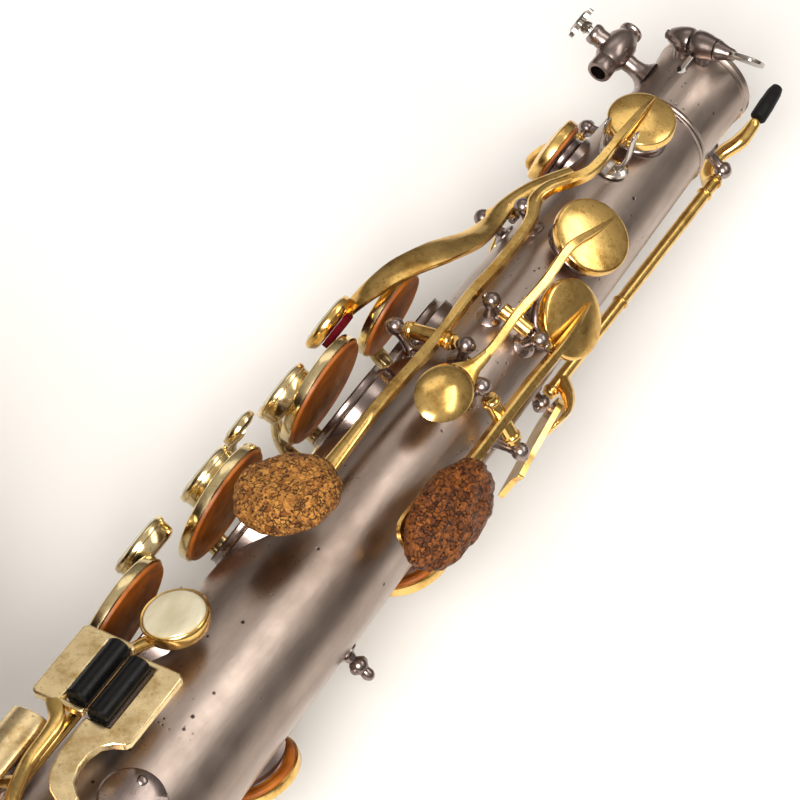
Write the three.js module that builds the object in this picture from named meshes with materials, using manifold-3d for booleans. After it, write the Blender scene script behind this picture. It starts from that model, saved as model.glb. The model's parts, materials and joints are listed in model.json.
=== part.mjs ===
// Tenor saxophone body, without its neck, lying on its right side.
//
// Everything is first placed in the instrument's own frame: the tube's axis is Y with the neck end at
// Y = 0, so "down" is the distance below the neck end; an angle around the tube is 0 towards +Z (the
// player's left side), -90 towards -X (the front, where the bell is) and +90 towards +X (the back).
// The last section tilts the instrument onto its three points of rest and sets the origin.
// Lengths are millimetres and angles are degrees.

import * as THREE from 'three';
import { mergeVertices } from 'three/addons/utils/BufferGeometryUtils.js';
import Module from 'manifold-3d';

const wasm = await Module();
wasm.setup();

// ---------------------------------------------------------------------------------------------
// Driving dimensions

const GAP = 0.3; // between pieces that touch
const WALL = 1.2;
const RECEIVER_LENGTH = 30;
const RECEIVER_BORE = 13;
const TUBE_TOP_RADIUS = 16;
const TUBE_GROWTH = 0.0285; // radius gained for each millimetre down the cone
const TUBE_END = 690;
const BOW_SPAN = 104; // from the tube's axis to the bell's axis at the bow
const BOW_RADIUS = 36.2;
const BELL_END = 345; // how far down the bell's rim is
const BELL_LEAN = 3.2; // the bell leans away from the tube
const BELL_SEAM = 2.4; // the leaning bell stops this far above the bow
const BELL_PROFILE = [[0, 36.2], [100, 39.5], [180, 42.5], [240, 46.5], [285, 53], [315, 61], [335, 69.5], [345, 75]];
const CHIMNEY_HEIGHT = 3;
const CUP_HEIGHT = 5.6;
const PAD_SEAT = CHIMNEY_HEIGHT + GAP;
const CUP_OVER_HOLE = 3.5; // a pad cup is this much larger in radius than its tone hole
const ROD = 2.4;
const POST_RADIUS = 2.8;
const ARM = 2;

const radians = THREE.MathUtils.degToRad;
const outerRadius = (down) => TUBE_TOP_RADIUS + TUBE_GROWTH * (down - RECEIVER_LENGTH);

// ---------------------------------------------------------------------------------------------
// Places in the instrument's frame

const outward = (angle) => new THREE.Vector3(Math.sin(radians(angle)), 0, Math.cos(radians(angle)));
const sideways = (angle) => new THREE.Vector3(Math.cos(radians(angle)), 0, -Math.sin(radians(angle)));
const point = (x, down, z) => new THREE.Vector3(x, -down, z);
const around = (down, angle, distance) => outward(angle).multiplyScalar(distance).setY(-down);
const above = (down, angle, height) => around(down, angle, outerRadius(down) + height);

// A frame whose Z points outward, X runs round the tube and Y runs up the tube.
function frameAt(down, angle, distance, shift = 0) {
  const place = around(down, angle, distance).addScaledVector(sideways(angle), shift);
  const matrix = new THREE.Matrix4();
  matrix.makeBasis(sideways(angle), new THREE.Vector3(0, 1, 0), outward(angle));
  return matrix.setPosition(place);
}

// A frame at a point whose Z points along a direction.
function frameAlong(origin, direction) {
  const turn = new THREE.Quaternion().setFromUnitVectors(new THREE.Vector3(0, 0, 1), direction.clone().normalize());
  return new THREE.Matrix4().compose(origin, turn, new THREE.Vector3(1, 1, 1));
}

// ---------------------------------------------------------------------------------------------
// Solids

function solidFrom(geometry) {
  const bare = geometry.clone();
  bare.deleteAttribute('normal');
  bare.deleteAttribute('uv');
  const merged = mergeVertices(bare, 1e-4);
  const corners = merged.index.array;
  const kept = [];
  for (let i = 0; i < corners.length; i += 3) {
    const [a, b, c] = [corners[i], corners[i + 1], corners[i + 2]];
    if (a !== b && b !== c && c !== a) kept.push(a, b, c);
  }
  return new wasm.Manifold(new wasm.Mesh({
    numProp: 3,
    vertProperties: new Float32Array(merged.attributes.position.array),
    triVerts: new Uint32Array(kept),
  }));
}

function geometryFrom(solid) {
  const mesh = solid.getMesh();
  const geometry = new THREE.BufferGeometry();
  geometry.setAttribute('position', new THREE.BufferAttribute(new Float32Array(mesh.vertProperties), 3));
  geometry.setIndex(new THREE.BufferAttribute(new Uint32Array(mesh.triVerts), 1));
  geometry.computeVertexNormals();
  return geometry;
}

const join = (...solids) => solids.reduce((whole, piece) => whole.add(piece));
const moved = (solid, matrix) => solid.transform(matrix.elements);

// A round solid from a profile of [radius, height], turned about the frame's Z.
function turned(frame, profile, segments = 20) {
  const geometry = new THREE.LatheGeometry(profile.map(([r, z]) => new THREE.Vector2(r, z)), segments);
  geometry.rotateX(Math.PI / 2);
  geometry.scale(1, -1, 1);
  const index = geometry.index;
  for (let i = 0; i < index.count; i += 3) {
    const first = index.getX(i);
    index.setX(i, index.getX(i + 1));
    index.setX(i + 1, first);
  }
  geometry.applyMatrix4(frame);
  return solidFrom(geometry);
}

const disc = (frame, radius, low, high, segments = 20) =>
  turned(frame, [[0, low], [radius, low], [radius, high], [0, high]], segments);

function rodBetween(start, end, radius = ROD, segments = 8) {
  const span = end.clone().sub(start);
  return disc(frameAlong(start, span), radius, 0, span.length(), segments);
}

function ball(place, radius, segments = 10) {
  const geometry = new THREE.SphereGeometry(radius, segments, 6);
  geometry.translate(place.x, place.y, place.z);
  return solidFrom(geometry);
}

// A round bar that follows a smooth curve through the points.
function arm(points, radius = ARM, sides = 5) {
  const outline = new THREE.Shape();
  for (let i = 0; i < sides; i += 1) {
    const turn = (2 * Math.PI * i) / sides;
    const method = i === 0 ? 'moveTo' : 'lineTo';
    outline[method](radius * Math.cos(turn), radius * Math.sin(turn));
  }
  outline.closePath();
  const path = new THREE.CatmullRomCurve3(points, false, 'centripetal');
  const steps = 2 * (points.length - 1);
  return solidFrom(new THREE.ExtrudeGeometry(outline, { extrudePath: path, steps, bevelEnabled: false }));
}

function slab(frame, width, length, low, high) {
  const geometry = new THREE.BoxGeometry(width, length, high - low);
  geometry.translate(0, 0, (low + high) / 2);
  geometry.applyMatrix4(frame);
  return solidFrom(geometry);
}

// ---------------------------------------------------------------------------------------------
// Pieces that repeat

const padCup = (frame, diameter) => {
  const r = diameter / 2;
  return turned(frame, [[0, 0], [r, 0], [r, 4], [0, CUP_HEIGHT]], 16);
};

const pearlHolder = (frame, radius, depth) => turned(
  frame, [[0, -depth], [radius - 0.8, -depth], [radius, 0.8 - depth], [radius, 0], [0, 0]], 14);

const pearl = (frame, radius) => {
  const r = radius - 0.6;
  return turned(frame, [[0, GAP], [r, GAP], [r, 1.8], [0, 2.8]], 14);
};

// A soldered post: a tapering stem from inside the tube's wall to just past the hinge's axis.
function post(place) {
  const angle = THREE.MathUtils.radToDeg(Math.atan2(place.x, place.z));
  const distance = Math.hypot(place.x, place.z);
  const foot = outerRadius(-place.y) - 0.7;
  const top = distance - foot;
  return turned(frameAt(-place.y, angle, foot), [[0, 0], [POST_RADIUS, 0], [2.5, top + 2.4], [0, top + 2.4]], 5);
}

// Posts at both ends of a hinge rod, clear of its end faces.
function postsFor(hinge) {
  const along = hinge.end.clone().sub(hinge.start).normalize().multiplyScalar(POST_RADIUS + 1);
  return [post(hinge.start.clone().sub(along)), post(hinge.end.clone().add(along))];
}

// A turn about a hinge's axis, positive by the right-hand rule from start to end.
function turnAbout(hinge, degrees) {
  const axis = hinge.end.clone().sub(hinge.start).normalize();
  const back = new THREE.Matrix4().makeTranslation(-hinge.start.x, -hinge.start.y, -hinge.start.z);
  const matrix = new THREE.Matrix4().makeTranslation(hinge.start.x, hinge.start.y, hinge.start.z);
  matrix.multiply(new THREE.Matrix4().makeRotationAxis(axis, radians(degrees)));
  return matrix.multiply(back);
}

// Hinges along the tube: rising ones turn positive about +Y, falling ones about -Y.
const risingHinge = (x, z, top, bottom) => ({ start: point(x, bottom, z), end: point(x, top, z) });
const fallingHinge = (x, z, top, bottom) => ({ start: point(x, top, z), end: point(x, bottom, z) });

// A hinge across the tube, positive when the end nearer the neck lifts.
function crossHinge(down, angle, height, length) {
  const middle = above(down, angle, height);
  const half = sideways(angle).multiplyScalar(length / 2);
  return { start: middle.clone().sub(half), end: middle.clone().add(half) };
}

const hingeRod = (hinge, radius = ROD) => rodBetween(hinge.start, hinge.end, radius);

// ---------------------------------------------------------------------------------------------
// Materials

const finish = (color, roughness, metalness) => new THREE.MeshStandardMaterial({ color, roughness, metalness });
const silver = () => finish(0x9a8a80, 0.42, 1);
const gold = () => finish(0xc9a24a, 0.3, 1);
const paleGold = () => finish(0xd8c48c, 0.3, 1);
const cork = () => finish(0xa8683a, 0.85, 0);
const pearlWhite = () => finish(0xe9e4d4, 0.25, 0);
const black = () => finish(0x151515, 0.5, 0);

const instrument = new THREE.Group();
const root = new THREE.Group();
root.add(instrument);

function add(name, solid, material, hinge = null) {
  const mesh = new THREE.Mesh(geometryFrom(solid), material);
  mesh.name = name;
  if (hinge) {
    mesh.userData.hinge = { start: hinge.start.toArray(), end: hinge.end.toArray() };
  }
  instrument.add(mesh);
}

// ---------------------------------------------------------------------------------------------
// Hinges of every key

const UPPER_ROD = [-19.2, -23.7];
const LOWER_ROD = [-24.2, -29.9];
const STACK_ANGLE = -90;
const STACK_OPENING = 13; // how far a stack key turns to close

const hinges = {
  palmF: crossHinge(153, -38, 6.6, 17),
  palmEb: crossHinge(133, 1, 5.8, 10.5),
  palmD: crossHinge(161, 34, 6.8, 17),
  frontF: crossHinge(95, -67, 6.5, 11),
  octave: fallingHinge(22, -8, 21, 124),
  octavePip: crossHinge(166, 150, 6, 10),
  sideE: fallingHinge(-19, -14, 37, 72),
  sideC: risingHinge(4, -28.2, 182, 206),
  sideBb: risingHinge(4.5, -31.4, 263, 293),
  sideELever: fallingHinge(-11.1, -30.5, 80, 428),
  sideCLever: fallingHinge(-3.4, -32.3, 213, 462),
  sideBbLever: fallingHinge(4.5, -32.2, 302, 496),
  c: risingHinge(...UPPER_ROD, 128, 157),
  b: risingHinge(...UPPER_ROD, 158, 194),
  bis: risingHinge(...UPPER_ROD, 202, 209),
  a: risingHinge(...UPPER_ROD, 210, 244),
  g: risingHinge(...UPPER_ROD, 252, 297),
  gSharp: risingHinge(-25.9, 20.3, 297, 347),
  fSharp: risingHinge(...LOWER_ROD, 364, 409),
  f: risingHinge(...LOWER_ROD, 417, 461),
  e: risingHinge(...LOWER_ROD, 469, 520),
  d: risingHinge(...LOWER_ROD, 528, 574),
  lowB: fallingHinge(-12.5, 34.3, 362, 600),
  lowBb: fallingHinge(-21.2, 27.2, 373, 520),
  lowCSharp: fallingHinge(2.6, 37, 352, 652),
  lowEb: risingHinge(-14, -40, 577, 645),
  lowC: risingHinge(-27, -40.5, 592, 708),
};

// Hinges with a post of their own at each end; the stack's rods share theirs.
const postedHinges = ['palmF', 'palmEb', 'palmD', 'frontF', 'octavePip', 'sideE', 'sideC', 'sideBb',
  'sideELever', 'sideCLever', 'sideBbLever', 'lowB', 'lowBb', 'lowCSharp', 'lowEb'];
const SPARE_POST = point(26.7, 238.7, -4); // stands alone beside the right thumb's side of the tube
const UPPER_POSTS = [124.8, 198, 248, 300.2];
const LOWER_POSTS = [360.8, 413, 465, 524, 577.2];

// ---------------------------------------------------------------------------------------------
// Tone holes: where each pad closes, as distance down, angle round the tube and cup diameter

const pads = {
  palmF: { down: 45, angle: -19, cup: 21 },
  sideE: { down: 58, angle: -92, cup: 22 },
  palmEb: { down: 92, angle: 6, cup: 24 },
  palmD: { down: 118, angle: 31, cup: 24 },
  c: { down: 141, angle: STACK_ANGLE, cup: 29 },
  b: { down: 176.5, angle: STACK_ANGLE, cup: 36 },
  sideC: { down: 194, angle: 130, cup: 26 },
  a: { down: 226.5, angle: STACK_ANGLE, cup: 38 },
  sideBb: { down: 278, angle: 130, cup: 28 },
  g: { down: 276, angle: STACK_ANGLE, cup: 40 },
  gSharp: { down: 338, angle: -112, cup: 34 },
  fSharp: { down: 386, angle: STACK_ANGLE, cup: 42 },
  f: { down: 438, angle: STACK_ANGLE, cup: 43 },
  e: { down: 493, angle: STACK_ANGLE, cup: 46 },
  d: { down: 550, angle: STACK_ANGLE, cup: 48 },
  lowEb: { down: 632, angle: 160, cup: 44 },
  lowCSharp: { down: 640, angle: 48, cup: 46 },
};

const seatOf = (pad) => frameAt(pad.down, pad.angle, outerRadius(pad.down) + PAD_SEAT);
const holeRadius = (pad) => pad.cup / 2 - CUP_OVER_HOLE;

// ---------------------------------------------------------------------------------------------
// Body tube with chimneys and posts

function bodyTube() {
  const top = RECEIVER_LENGTH + GAP;
  const bottom = TUBE_END - GAP;
  const downward = frameAlong(point(0, 0, 0), new THREE.Vector3(0, -1, 0));
  const cone = turned(downward, [[0, top], [outerRadius(top), top], [outerRadius(bottom), bottom], [0, bottom]], 24);
  let outside = cone;
  let inside = turned(downward, [[0, top - 5], [outerRadius(top) - WALL, top - 5],
    [outerRadius(bottom) - WALL, bottom + 5], [0, bottom + 5]], 24);
  for (const pad of Object.values(pads)) {
    const frame = frameAt(pad.down, pad.angle, 0);
    const chimneyTop = outerRadius(pad.down) + CHIMNEY_HEIGHT;
    outside = outside.add(disc(frame, holeRadius(pad), 1, chimneyTop, 12));
    inside = inside.add(disc(frame, holeRadius(pad) - WALL, 2, chimneyTop + 5, 12));
  }
  const posts = postedHinges.flatMap((name) => postsFor(hinges[name]));
  posts.push(postsFor(hinges.lowC)[1], postsFor(hinges.octave)[1], postsFor(hinges.gSharp)[0], post(SPARE_POST));
  for (const down of UPPER_POSTS) posts.push(post(point(UPPER_ROD[0], down, UPPER_ROD[1])));
  for (const down of LOWER_POSTS) posts.push(post(point(LOWER_ROD[0], down, LOWER_ROD[1])));
  const seats = Object.values(pads).map((pad) => disc(seatOf(pad), pad.cup / 2 + 0.6, -1, 12, 12));
  let soldered = posts.reduce((whole, piece) => whole.add(piece));
  for (const seat of seats) soldered = soldered.subtract(seat);
  return outside.add(soldered).subtract(inside);
}

// ---------------------------------------------------------------------------------------------
// Neck receiver, clamp and lyre holder

const CLAMP_ANGLE = -31;
const CLAMP_DOWN = 5;
const CLAMP_DISTANCE = 19.4;
const SLIT_WIDTH = 1.6;

function neckReceiver() {
  const downward = frameAlong(point(0, 0, 0), new THREE.Vector3(0, -1, 0));
  const sleeve = turned(downward, [[0, 0], [15.8, 0], [15.8, 2], [15.2, 2.6], [15.2, 27], [16.6, 28.4],
    [15.6, RECEIVER_LENGTH], [0, RECEIVER_LENGTH]], 24);
  const bore = disc(downward, RECEIVER_BORE, -5, RECEIVER_LENGTH + 5, 24);
  const lugFrame = frameAt(CLAMP_DOWN, CLAMP_ANGLE, CLAMP_DISTANCE);
  const middle = around(CLAMP_DOWN, CLAMP_ANGLE, CLAMP_DISTANCE);
  const lug = rodBetween(
    middle.clone().addScaledVector(sideways(CLAMP_ANGLE), -8),
    middle.clone().addScaledVector(sideways(CLAMP_ANGLE), 8), 3.9, 16);
  const web = slab(lugFrame, 10, 6, -6, 0);
  const slit = slab(frameAt(CLAMP_DOWN, CLAMP_ANGLE, 14), SLIT_WIDTH, 17, -6, 12);
  const keyhole = disc(frameAt(13.5, CLAMP_ANGLE, 8), 1.6, 0, 10, 12);
  const screwHole = rodBetween(
    middle.clone().addScaledVector(sideways(CLAMP_ANGLE), -12),
    middle.clone().addScaledVector(sideways(CLAMP_ANGLE), 12), 1.9, 12);
  const octavePost = postsFor(hinges.octave)[0];
  return sleeve.add(lug).add(web).add(octavePost).subtract(bore).subtract(slit).subtract(keyhole).subtract(screwHole);
}

const clampAxis = () => {
  const middle = around(CLAMP_DOWN, CLAMP_ANGLE, CLAMP_DISTANCE);
  const start = middle.clone().addScaledVector(sideways(CLAMP_ANGLE), -9.5);
  return { start, end: middle.clone().addScaledVector(sideways(CLAMP_ANGLE), 13) };
};

function clampScrew() {
  const { start, end } = clampAxis();
  const along = end.clone().sub(start).normalize();
  const shaft = rodBetween(start, end, 1.5, 12);
  const neckStart = start.clone().addScaledVector(along, 17.5 + GAP);
  const neck = turned(frameAlong(neckStart, along), [[0, 0], [3.4, 0], [1.9, 6], [0, 6]], 12);
  const headNormal = new THREE.Vector3(0, -0.55, 0.84).cross(along);
  const headFrame = frameAlong(end.clone().addScaledVector(along, 5), headNormal);
  return join(shaft, neck, disc(headFrame, 6.5, -1, 1, 16));
}

const LYRE = { x: -27, down: 15, z: 2 };
const lyrePoint = (shift, down = 0) => point(LYRE.x + shift, LYRE.down + down, LYRE.z);

function lyreHolder() {
  const body = turned(frameAlong(lyrePoint(0), new THREE.Vector3(0, -1, 0)),
    [[0, -10], [4.2, -10], [6.3, -2], [6.3, 2], [4.6, 11], [0, 11]], 16);
  const bore = rodBetween(lyrePoint(0, -20), lyrePoint(0, 20), 2.7, 12);
  const stem = rodBetween(point(-15.9, LYRE.down, 1.2), lyrePoint(3), 2.6, 12);
  const boss = rodBetween(lyrePoint(-3), lyrePoint(-9.5), 3.2, 12);
  const thread = rodBetween(lyrePoint(0), lyrePoint(-12), 1.8, 10);
  return join(body, stem, boss).subtract(bore).subtract(thread);
}

const lyreAxis = { start: lyrePoint(-3.4), end: lyrePoint(-14) };

function lyreScrew() {
  return rodBetween(lyreAxis.start, lyreAxis.end, 1.4, 10).add(rodBetween(lyrePoint(-11.5), lyrePoint(-15.5), 5.5, 16));
}

// ---------------------------------------------------------------------------------------------
// Bow, bell and what joins them

// A half circle in the plane of the tube and bell, from the tube's end to the bell's end.
class BowCurve extends THREE.Curve {
  constructor(overrun) {
    super();
    this.overrun = overrun;
  }

  getPoint(fraction) {
    const turn = Math.PI * (-this.overrun + fraction * (1 + 2 * this.overrun));
    const half = BOW_SPAN / 2;
    return point(-half + half * Math.cos(turn), TUBE_END + half * Math.sin(turn), 0);
  }
}

function bent(radius, overrun, steps) {
  const outline = new THREE.Shape();
  const sides = 20;
  for (let i = 0; i < sides; i += 1) {
    const turn = (2 * Math.PI * i) / sides;
    const method = i === 0 ? 'moveTo' : 'lineTo';
    outline[method](radius * Math.cos(turn), radius * Math.sin(turn));
  }
  outline.closePath();
  const extrudePath = new BowCurve(overrun);
  return solidFrom(new THREE.ExtrudeGeometry(outline, { extrudePath, steps, bevelEnabled: false }));
}

const LOW_C_PLACE = point(-BOW_SPAN / 2, TUBE_END + BOW_SPAN / 2, 0);
const LOW_C_CUP = 50;
const lowCSeat = () => frameAlong(point(LOW_C_PLACE.x, -LOW_C_PLACE.y, -(BOW_RADIUS + PAD_SEAT)),
  new THREE.Vector3(0, 0, -1));

function bow() {
  const overrun = 0.03;
  const hole = LOW_C_CUP / 2 - CUP_OVER_HOLE;
  const frame = frameAlong(LOW_C_PLACE, new THREE.Vector3(0, 0, -1));
  const lowCPosts = postsOnBow();
  return bent(BOW_RADIUS, 0, 10)
    .add(disc(frame, hole, 2, BOW_RADIUS + CHIMNEY_HEIGHT, 18))
    .add(lowCPosts)
    .subtract(bent(BOW_RADIUS - WALL, overrun, 12))
    .subtract(disc(frame, hole - WALL, 3, BOW_RADIUS + 20, 18));
}

// The low C rod ends in one post on the bow; its upper post is on the tube.
function postsOnBow() {
  const top = point(hinges.lowC.start.x, 708 + POST_RADIUS + 1, hinges.lowC.start.z);
  const foot = point(top.x, -top.y, -27);
  return join(rodBetween(foot, top, 2, 8), ball(top, POST_RADIUS, 8));
}

const bellFrame = () => {
  const lean = radians(BELL_LEAN);
  const direction = new THREE.Vector3(-Math.sin(lean), Math.cos(lean), 0);
  return frameAlong(point(-BOW_SPAN, TUBE_END - BELL_SEAM, 0), direction);
};

function bellRadius(height) {
  const next = BELL_PROFILE.findIndex(([along]) => along >= height);
  const [low, high] = [BELL_PROFILE[next - 1], BELL_PROFILE[next]];
  return low[1] + ((high[1] - low[1]) * (height - low[0])) / (high[0] - low[0]);
}

const bellPads = {
  lowB: { height: 98, cup: 56 },
  lowBb: { height: 178, cup: 60 },
};

// The bell's tone holes face +Z; this is the frame of the one at a height up the bell.
function bellHoleFrame(pad, distance) {
  const centre = new THREE.Vector3(0, 0, pad.height).applyMatrix4(bellFrame());
  centre.z += distance;
  return frameAlong(centre, new THREE.Vector3(0, 0, 1));
}

const bellSeat = (pad) => bellHoleFrame(pad, bellRadius(pad.height) + PAD_SEAT + 1.2);

function bell() {
  const rim = 2.4;
  const outline = BELL_PROFILE.map(([along, radius]) => [radius, along]);
  const last = outline[outline.length - 1];
  const outer = [[0, 0], ...outline, [last[0] + rim, last[1] + 1.2], [last[0] + rim, last[1] + 4],
    [last[0], last[1] + 5], [0, last[1] + 5]];
  const inner = [[0, -5], [BOW_RADIUS - WALL, -5], ...outline.map(([r, z]) => [r - WALL, z]),
    [last[0] + 1, last[1] + 12], [0, last[1] + 12]];
  let outside = turned(bellFrame(), outer, 28);
  let inside = turned(bellFrame(), inner, 28);
  for (const pad of Object.values(bellPads)) {
    const hole = pad.cup / 2 - CUP_OVER_HOLE;
    const top = bellRadius(pad.height) + CHIMNEY_HEIGHT + 1.2;
    outside = outside.add(disc(bellHoleFrame(pad, 0), hole, 2, top, 18));
    inside = inside.add(disc(bellHoleFrame(pad, 0), hole - WALL, 3, top + 10, 18));
  }
  return outside.subtract(inside);
}

// A joint ring: a closed band around the seam, clear of both tubes.
function ferrule(frame) {
  const inner = BOW_RADIUS + 0.9;
  return turned(frame, [[inner, -4], [inner + 1.6, -4], [inner + 1.6, 10], [inner, 10], [inner, -4]], 32);
}

function bellBrace() {
  const down = 556;
  const tubeAngle = -43;
  const bellAngle = 45;
  const height = TUBE_END - BELL_SEAM - down;
  const bellPoint = (distance) => new THREE.Vector3(0, 0, height).applyMatrix4(bellFrame())
    .addScaledVector(outward(bellAngle), distance);
  const tubeFoot = slab(frameAt(down, tubeAngle, outerRadius(down) + GAP + 0.9), 7, 16, 0, 2);
  const bellSide = bellRadius(height) + 1.4;
  const bellFoot = slab(frameAlong(bellPoint(bellSide), outward(bellAngle)), 16, 7, 0, 2);
  const bar = arm([above(down, tubeAngle, 2), point(-38, down, 31), point(-66, down, 32), bellPoint(bellSide + 1.2)],
    3, 6);
  return join(tubeFoot, bellFoot, bar);
}

// ---------------------------------------------------------------------------------------------
// Small fixed pieces

function thumbRest() {
  const frame = frameAt(178, 92, outerRadius(178) + GAP + 0.8);
  return turned(frame, [[0, 0], [6, 0], [7.5, 2], [7.5, 4], [5, 5.5], [0, 6]], 18);
}

function thumbHook() {
  const base = slab(frameAt(448, 112, outerRadius(448) + GAP + 0.6), 9, 26, 0, 2);
  const hook = arm([above(446, 112, 2), above(440, 110, 12), above(446, 106, 22), above(458, 103, 26)], 3, 6);
  return base.add(hook);
}

function strapRing() {
  const down = 332;
  const centre = above(down, 92, 9.5);
  const ring = turned(frameAlong(centre, new THREE.Vector3(0, 1, 0)),
    [[4.6, -1.4], [7.6, -1.4], [7.6, 1.4], [4.6, 1.4], [4.6, -1.4]], 20);
  const foot = slab(frameAt(down, 92, outerRadius(down) + GAP + 0.4), 7, 16, 0, 2.6);
  return ring.add(foot);
}

// Two upright prongs on one foot; the palm F lever slides between them.
const PALM_F_GUIDE = { down: 60, angle: -19, spread: 3.9 };

function palmFGuide() {
  const { down, angle, spread } = PALM_F_GUIDE;
  const surface = outerRadius(down) + GAP;
  const foot = slab(frameAt(down + 2, angle, surface + 0.3), 5, 12, 0, 2);
  const prongs = [-1, 1].map((side) => {
    const shifted = (height, shift) => new THREE.Vector3(side * shift, 0, height)
      .applyMatrix4(frameAt(down, angle, surface));
    return arm([shifted(1.2, 1), shifted(5, spread + 0.3), shifted(13.5, spread)], 1.2, 5);
  });
  return join(foot, ...prongs);
}

function lowKeyGuard() {
  const leg = (turn) => {
    const half = BOW_SPAN / 2;
    return point(-half + half * Math.cos(radians(turn)), TUBE_END + half * Math.sin(radians(turn)), 0);
  };
  const level = (place, z) => place.clone().setZ(z);
  const [near, far] = [leg(35), leg(145)];
  const foot = -BOW_RADIUS - GAP;
  const feet = [near, far].map((place) => disc(frameAlong(level(place, foot), new THREE.Vector3(0, 0, -1)), 6, 0, 2));
  const bar = arm([level(near, foot - 1), level(near, -55), level(near.clone().lerp(LOW_C_PLACE, 0.35), -61.5),
    level(LOW_C_PLACE, -62.5), level(far.clone().lerp(LOW_C_PLACE, 0.35), -61.5), level(far, -55),
    level(far, foot - 1)], 2.6, 6);
  return join(...feet, bar);
}

function bellKeyGuard() {
  const reach = (height) => bellRadius(height) + GAP + 0.4;
  const at = (height, shift, z) => new THREE.Vector3(0, 0, height).applyMatrix4(bellFrame()).add(
    new THREE.Vector3(shift, 0, z));
  const span = [bellPads.lowB.height - 42, bellPads.lowBb.height + 44];
  const feet = span.map((height) => disc(frameAlong(at(height, 0, reach(height) + 1.2), new THREE.Vector3(0, 0, 1)),
    6, 0, 2));
  const top = bellRadius(bellPads.lowBb.height) + 34;
  const bar = arm([at(span[0], 0, reach(span[0]) + 2), at(span[0] + 3, 0, top - 8), at(span[0] + 24, 0, top),
    at(span[1] - 24, 0, top), at(span[1] - 3, 0, top - 8), at(span[1], 0, reach(span[1]) + 2)], 2.4, 6);
  return join(...feet, bar);
}

const SIDE_GUIDE_DOWN = 312;

function sideKeyGuide() {
  const down = SIDE_GUIDE_DOWN;
  const feet = [-143, 152].map((angle) => disc(frameAt(down, angle, outerRadius(down) + GAP + 0.4), 4, 0, 1.8, 12));
  const bar = arm([above(down, -143, 1.6), point(-19, down, -38), point(-13, down, -52), point(-2, down, -55),
    point(9, down, -52), point(16, down, -38), above(down, 152, 1.6)], 2.4, 6);
  return join(...feet, bar);
}

// ---------------------------------------------------------------------------------------------
// Keys

const cupTop = (pad, height = CUP_HEIGHT) => above(pad.down, pad.angle, PAD_SEAT + height);

// A palm key: cup, arm over the hinge and a touch plate at the lower end.
function palmKey(pad, hinge, spine, touch) {
  return join(padCup(seatOf(pad), pad.cup), hingeRod(hinge), arm(spine, 1.8), ...touch);
}

const TOUCH_HEIGHT = 8.5; // from the tube to the underside of a palm key's touch
const palmFTouch = frameAt(232, -30, outerRadius(232) + TOUCH_HEIGHT)
  .multiply(new THREE.Matrix4().makeRotationZ(radians(-28)));
const palmDTouch = frameAt(204, 31, outerRadius(204) + TOUCH_HEIGHT);

const corkOn = (frame, width, length) => {
  const profile = [[0, 0], [0.82, 0], [1, 0.35], [0.9, 0.7], [0.55, 0.95], [0, 1.04]];
  const shape = frame.clone().multiply(new THREE.Matrix4().makeTranslation(0, 0, 2 + GAP))
    .multiply(new THREE.Matrix4().makeScale(width / 2, length / 2, 12));
  return turned(shape, profile, 20);
};
const platter = (frame, width, length) => disc(
  frame.clone().multiply(new THREE.Matrix4().makeScale(width / 2, length / 2, 1)), 1, 0, 2, 20);

function palmFKey() {
  const spine = [above(37, -20, 9.6), above(60, -19, 11.3), above(76, -20, 11.3), above(86, -33, 11.3),
    above(93, -36, 11.2), above(101, -30, 10.6), above(120, -28, 10.2), above(136, -30, 9.6), above(153, -29.5, 8),
    above(185, -31, 8.2), above(222, -29, 8.4)];
  return palmKey(pads.palmF, hinges.palmF, spine, [platter(palmFTouch, 18, 27)]);
}

function palmEbKey() {
  const spine = [above(83, 9, 9.6), above(92, 4, 9.8), above(104, -1, 10), above(119, 0, 9), above(133, -1, 8),
    above(150, 0, 9.5), above(160, -1, 10.5)];
  const spoon = turned(frameAt(172, -6, outerRadius(172) + 9)
    .multiply(new THREE.Matrix4().makeScale(8.6, 14, 4)), [[0, 0], [0.7, 0.1], [1, 0.7], [0.7, 1], [0, 1]], 20);
  return palmKey(pads.palmEb, hinges.palmEb, spine, [spoon]);
}

function palmDKey() {
  const spine = [above(111, 31, 9.6), above(128, 31, 9.8), above(143, 32, 8.8), above(161, 32, 8.4),
    above(178, 32, 8.6), above(196, 31, 9.2)];
  return palmKey(pads.palmD, hinges.palmD, spine, [platter(palmDTouch, 16, 30)]);
}

const FRONT_F_PEARL = frameAt(160, STACK_ANGLE, 41.6, 3);

function frontFKey() {
  const spine = [point(-40, 157, 4), point(-38, 150, 13), point(-35, 140, 17.5), point(-29.5, 128, 19.5),
    point(-24.5, 116, 18), point(-22.8, 104, 14), point(-22.8, 95, 12.5), point(-20, 86, 15.5), point(-13, 72, 19)];
  return join(arm(spine, 1.9), hingeRod(hinges.frontF), pearlHolder(FRONT_F_PEARL, 9.2, 2));
}

const OCTAVE_TOUCH = frameAt(147, 92, 27.4, -1).multiply(new THREE.Matrix4().makeRotationX(radians(-7.8)));

function octaveKey() {
  const rod = hingeRod(hinges.octave, 2);
  const touch = arm([point(22, 116, -8), point(27, 122, -5), point(27.5, 134, -2), point(27, 146, -1)], 2);
  const plate = slab(OCTAVE_TOUCH, 14, 32, -1.1, 1.1);
  const neckArm = arm([point(22, 25, -8), point(21, 21.5, -12), point(18.2, 15, -14.5), point(18.4, 9, -13.5),
    point(20.6, 3, -9), point(20.6, -1, -4.6), point(20.5, -4, -4)], 1.8);
  return join(rod, touch, plate, neckArm);
}

const octaveTip = () => rodBetween(point(20.4, -4 - GAP, -4), point(19.4, -19, -4), 2.6, 12);

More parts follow.
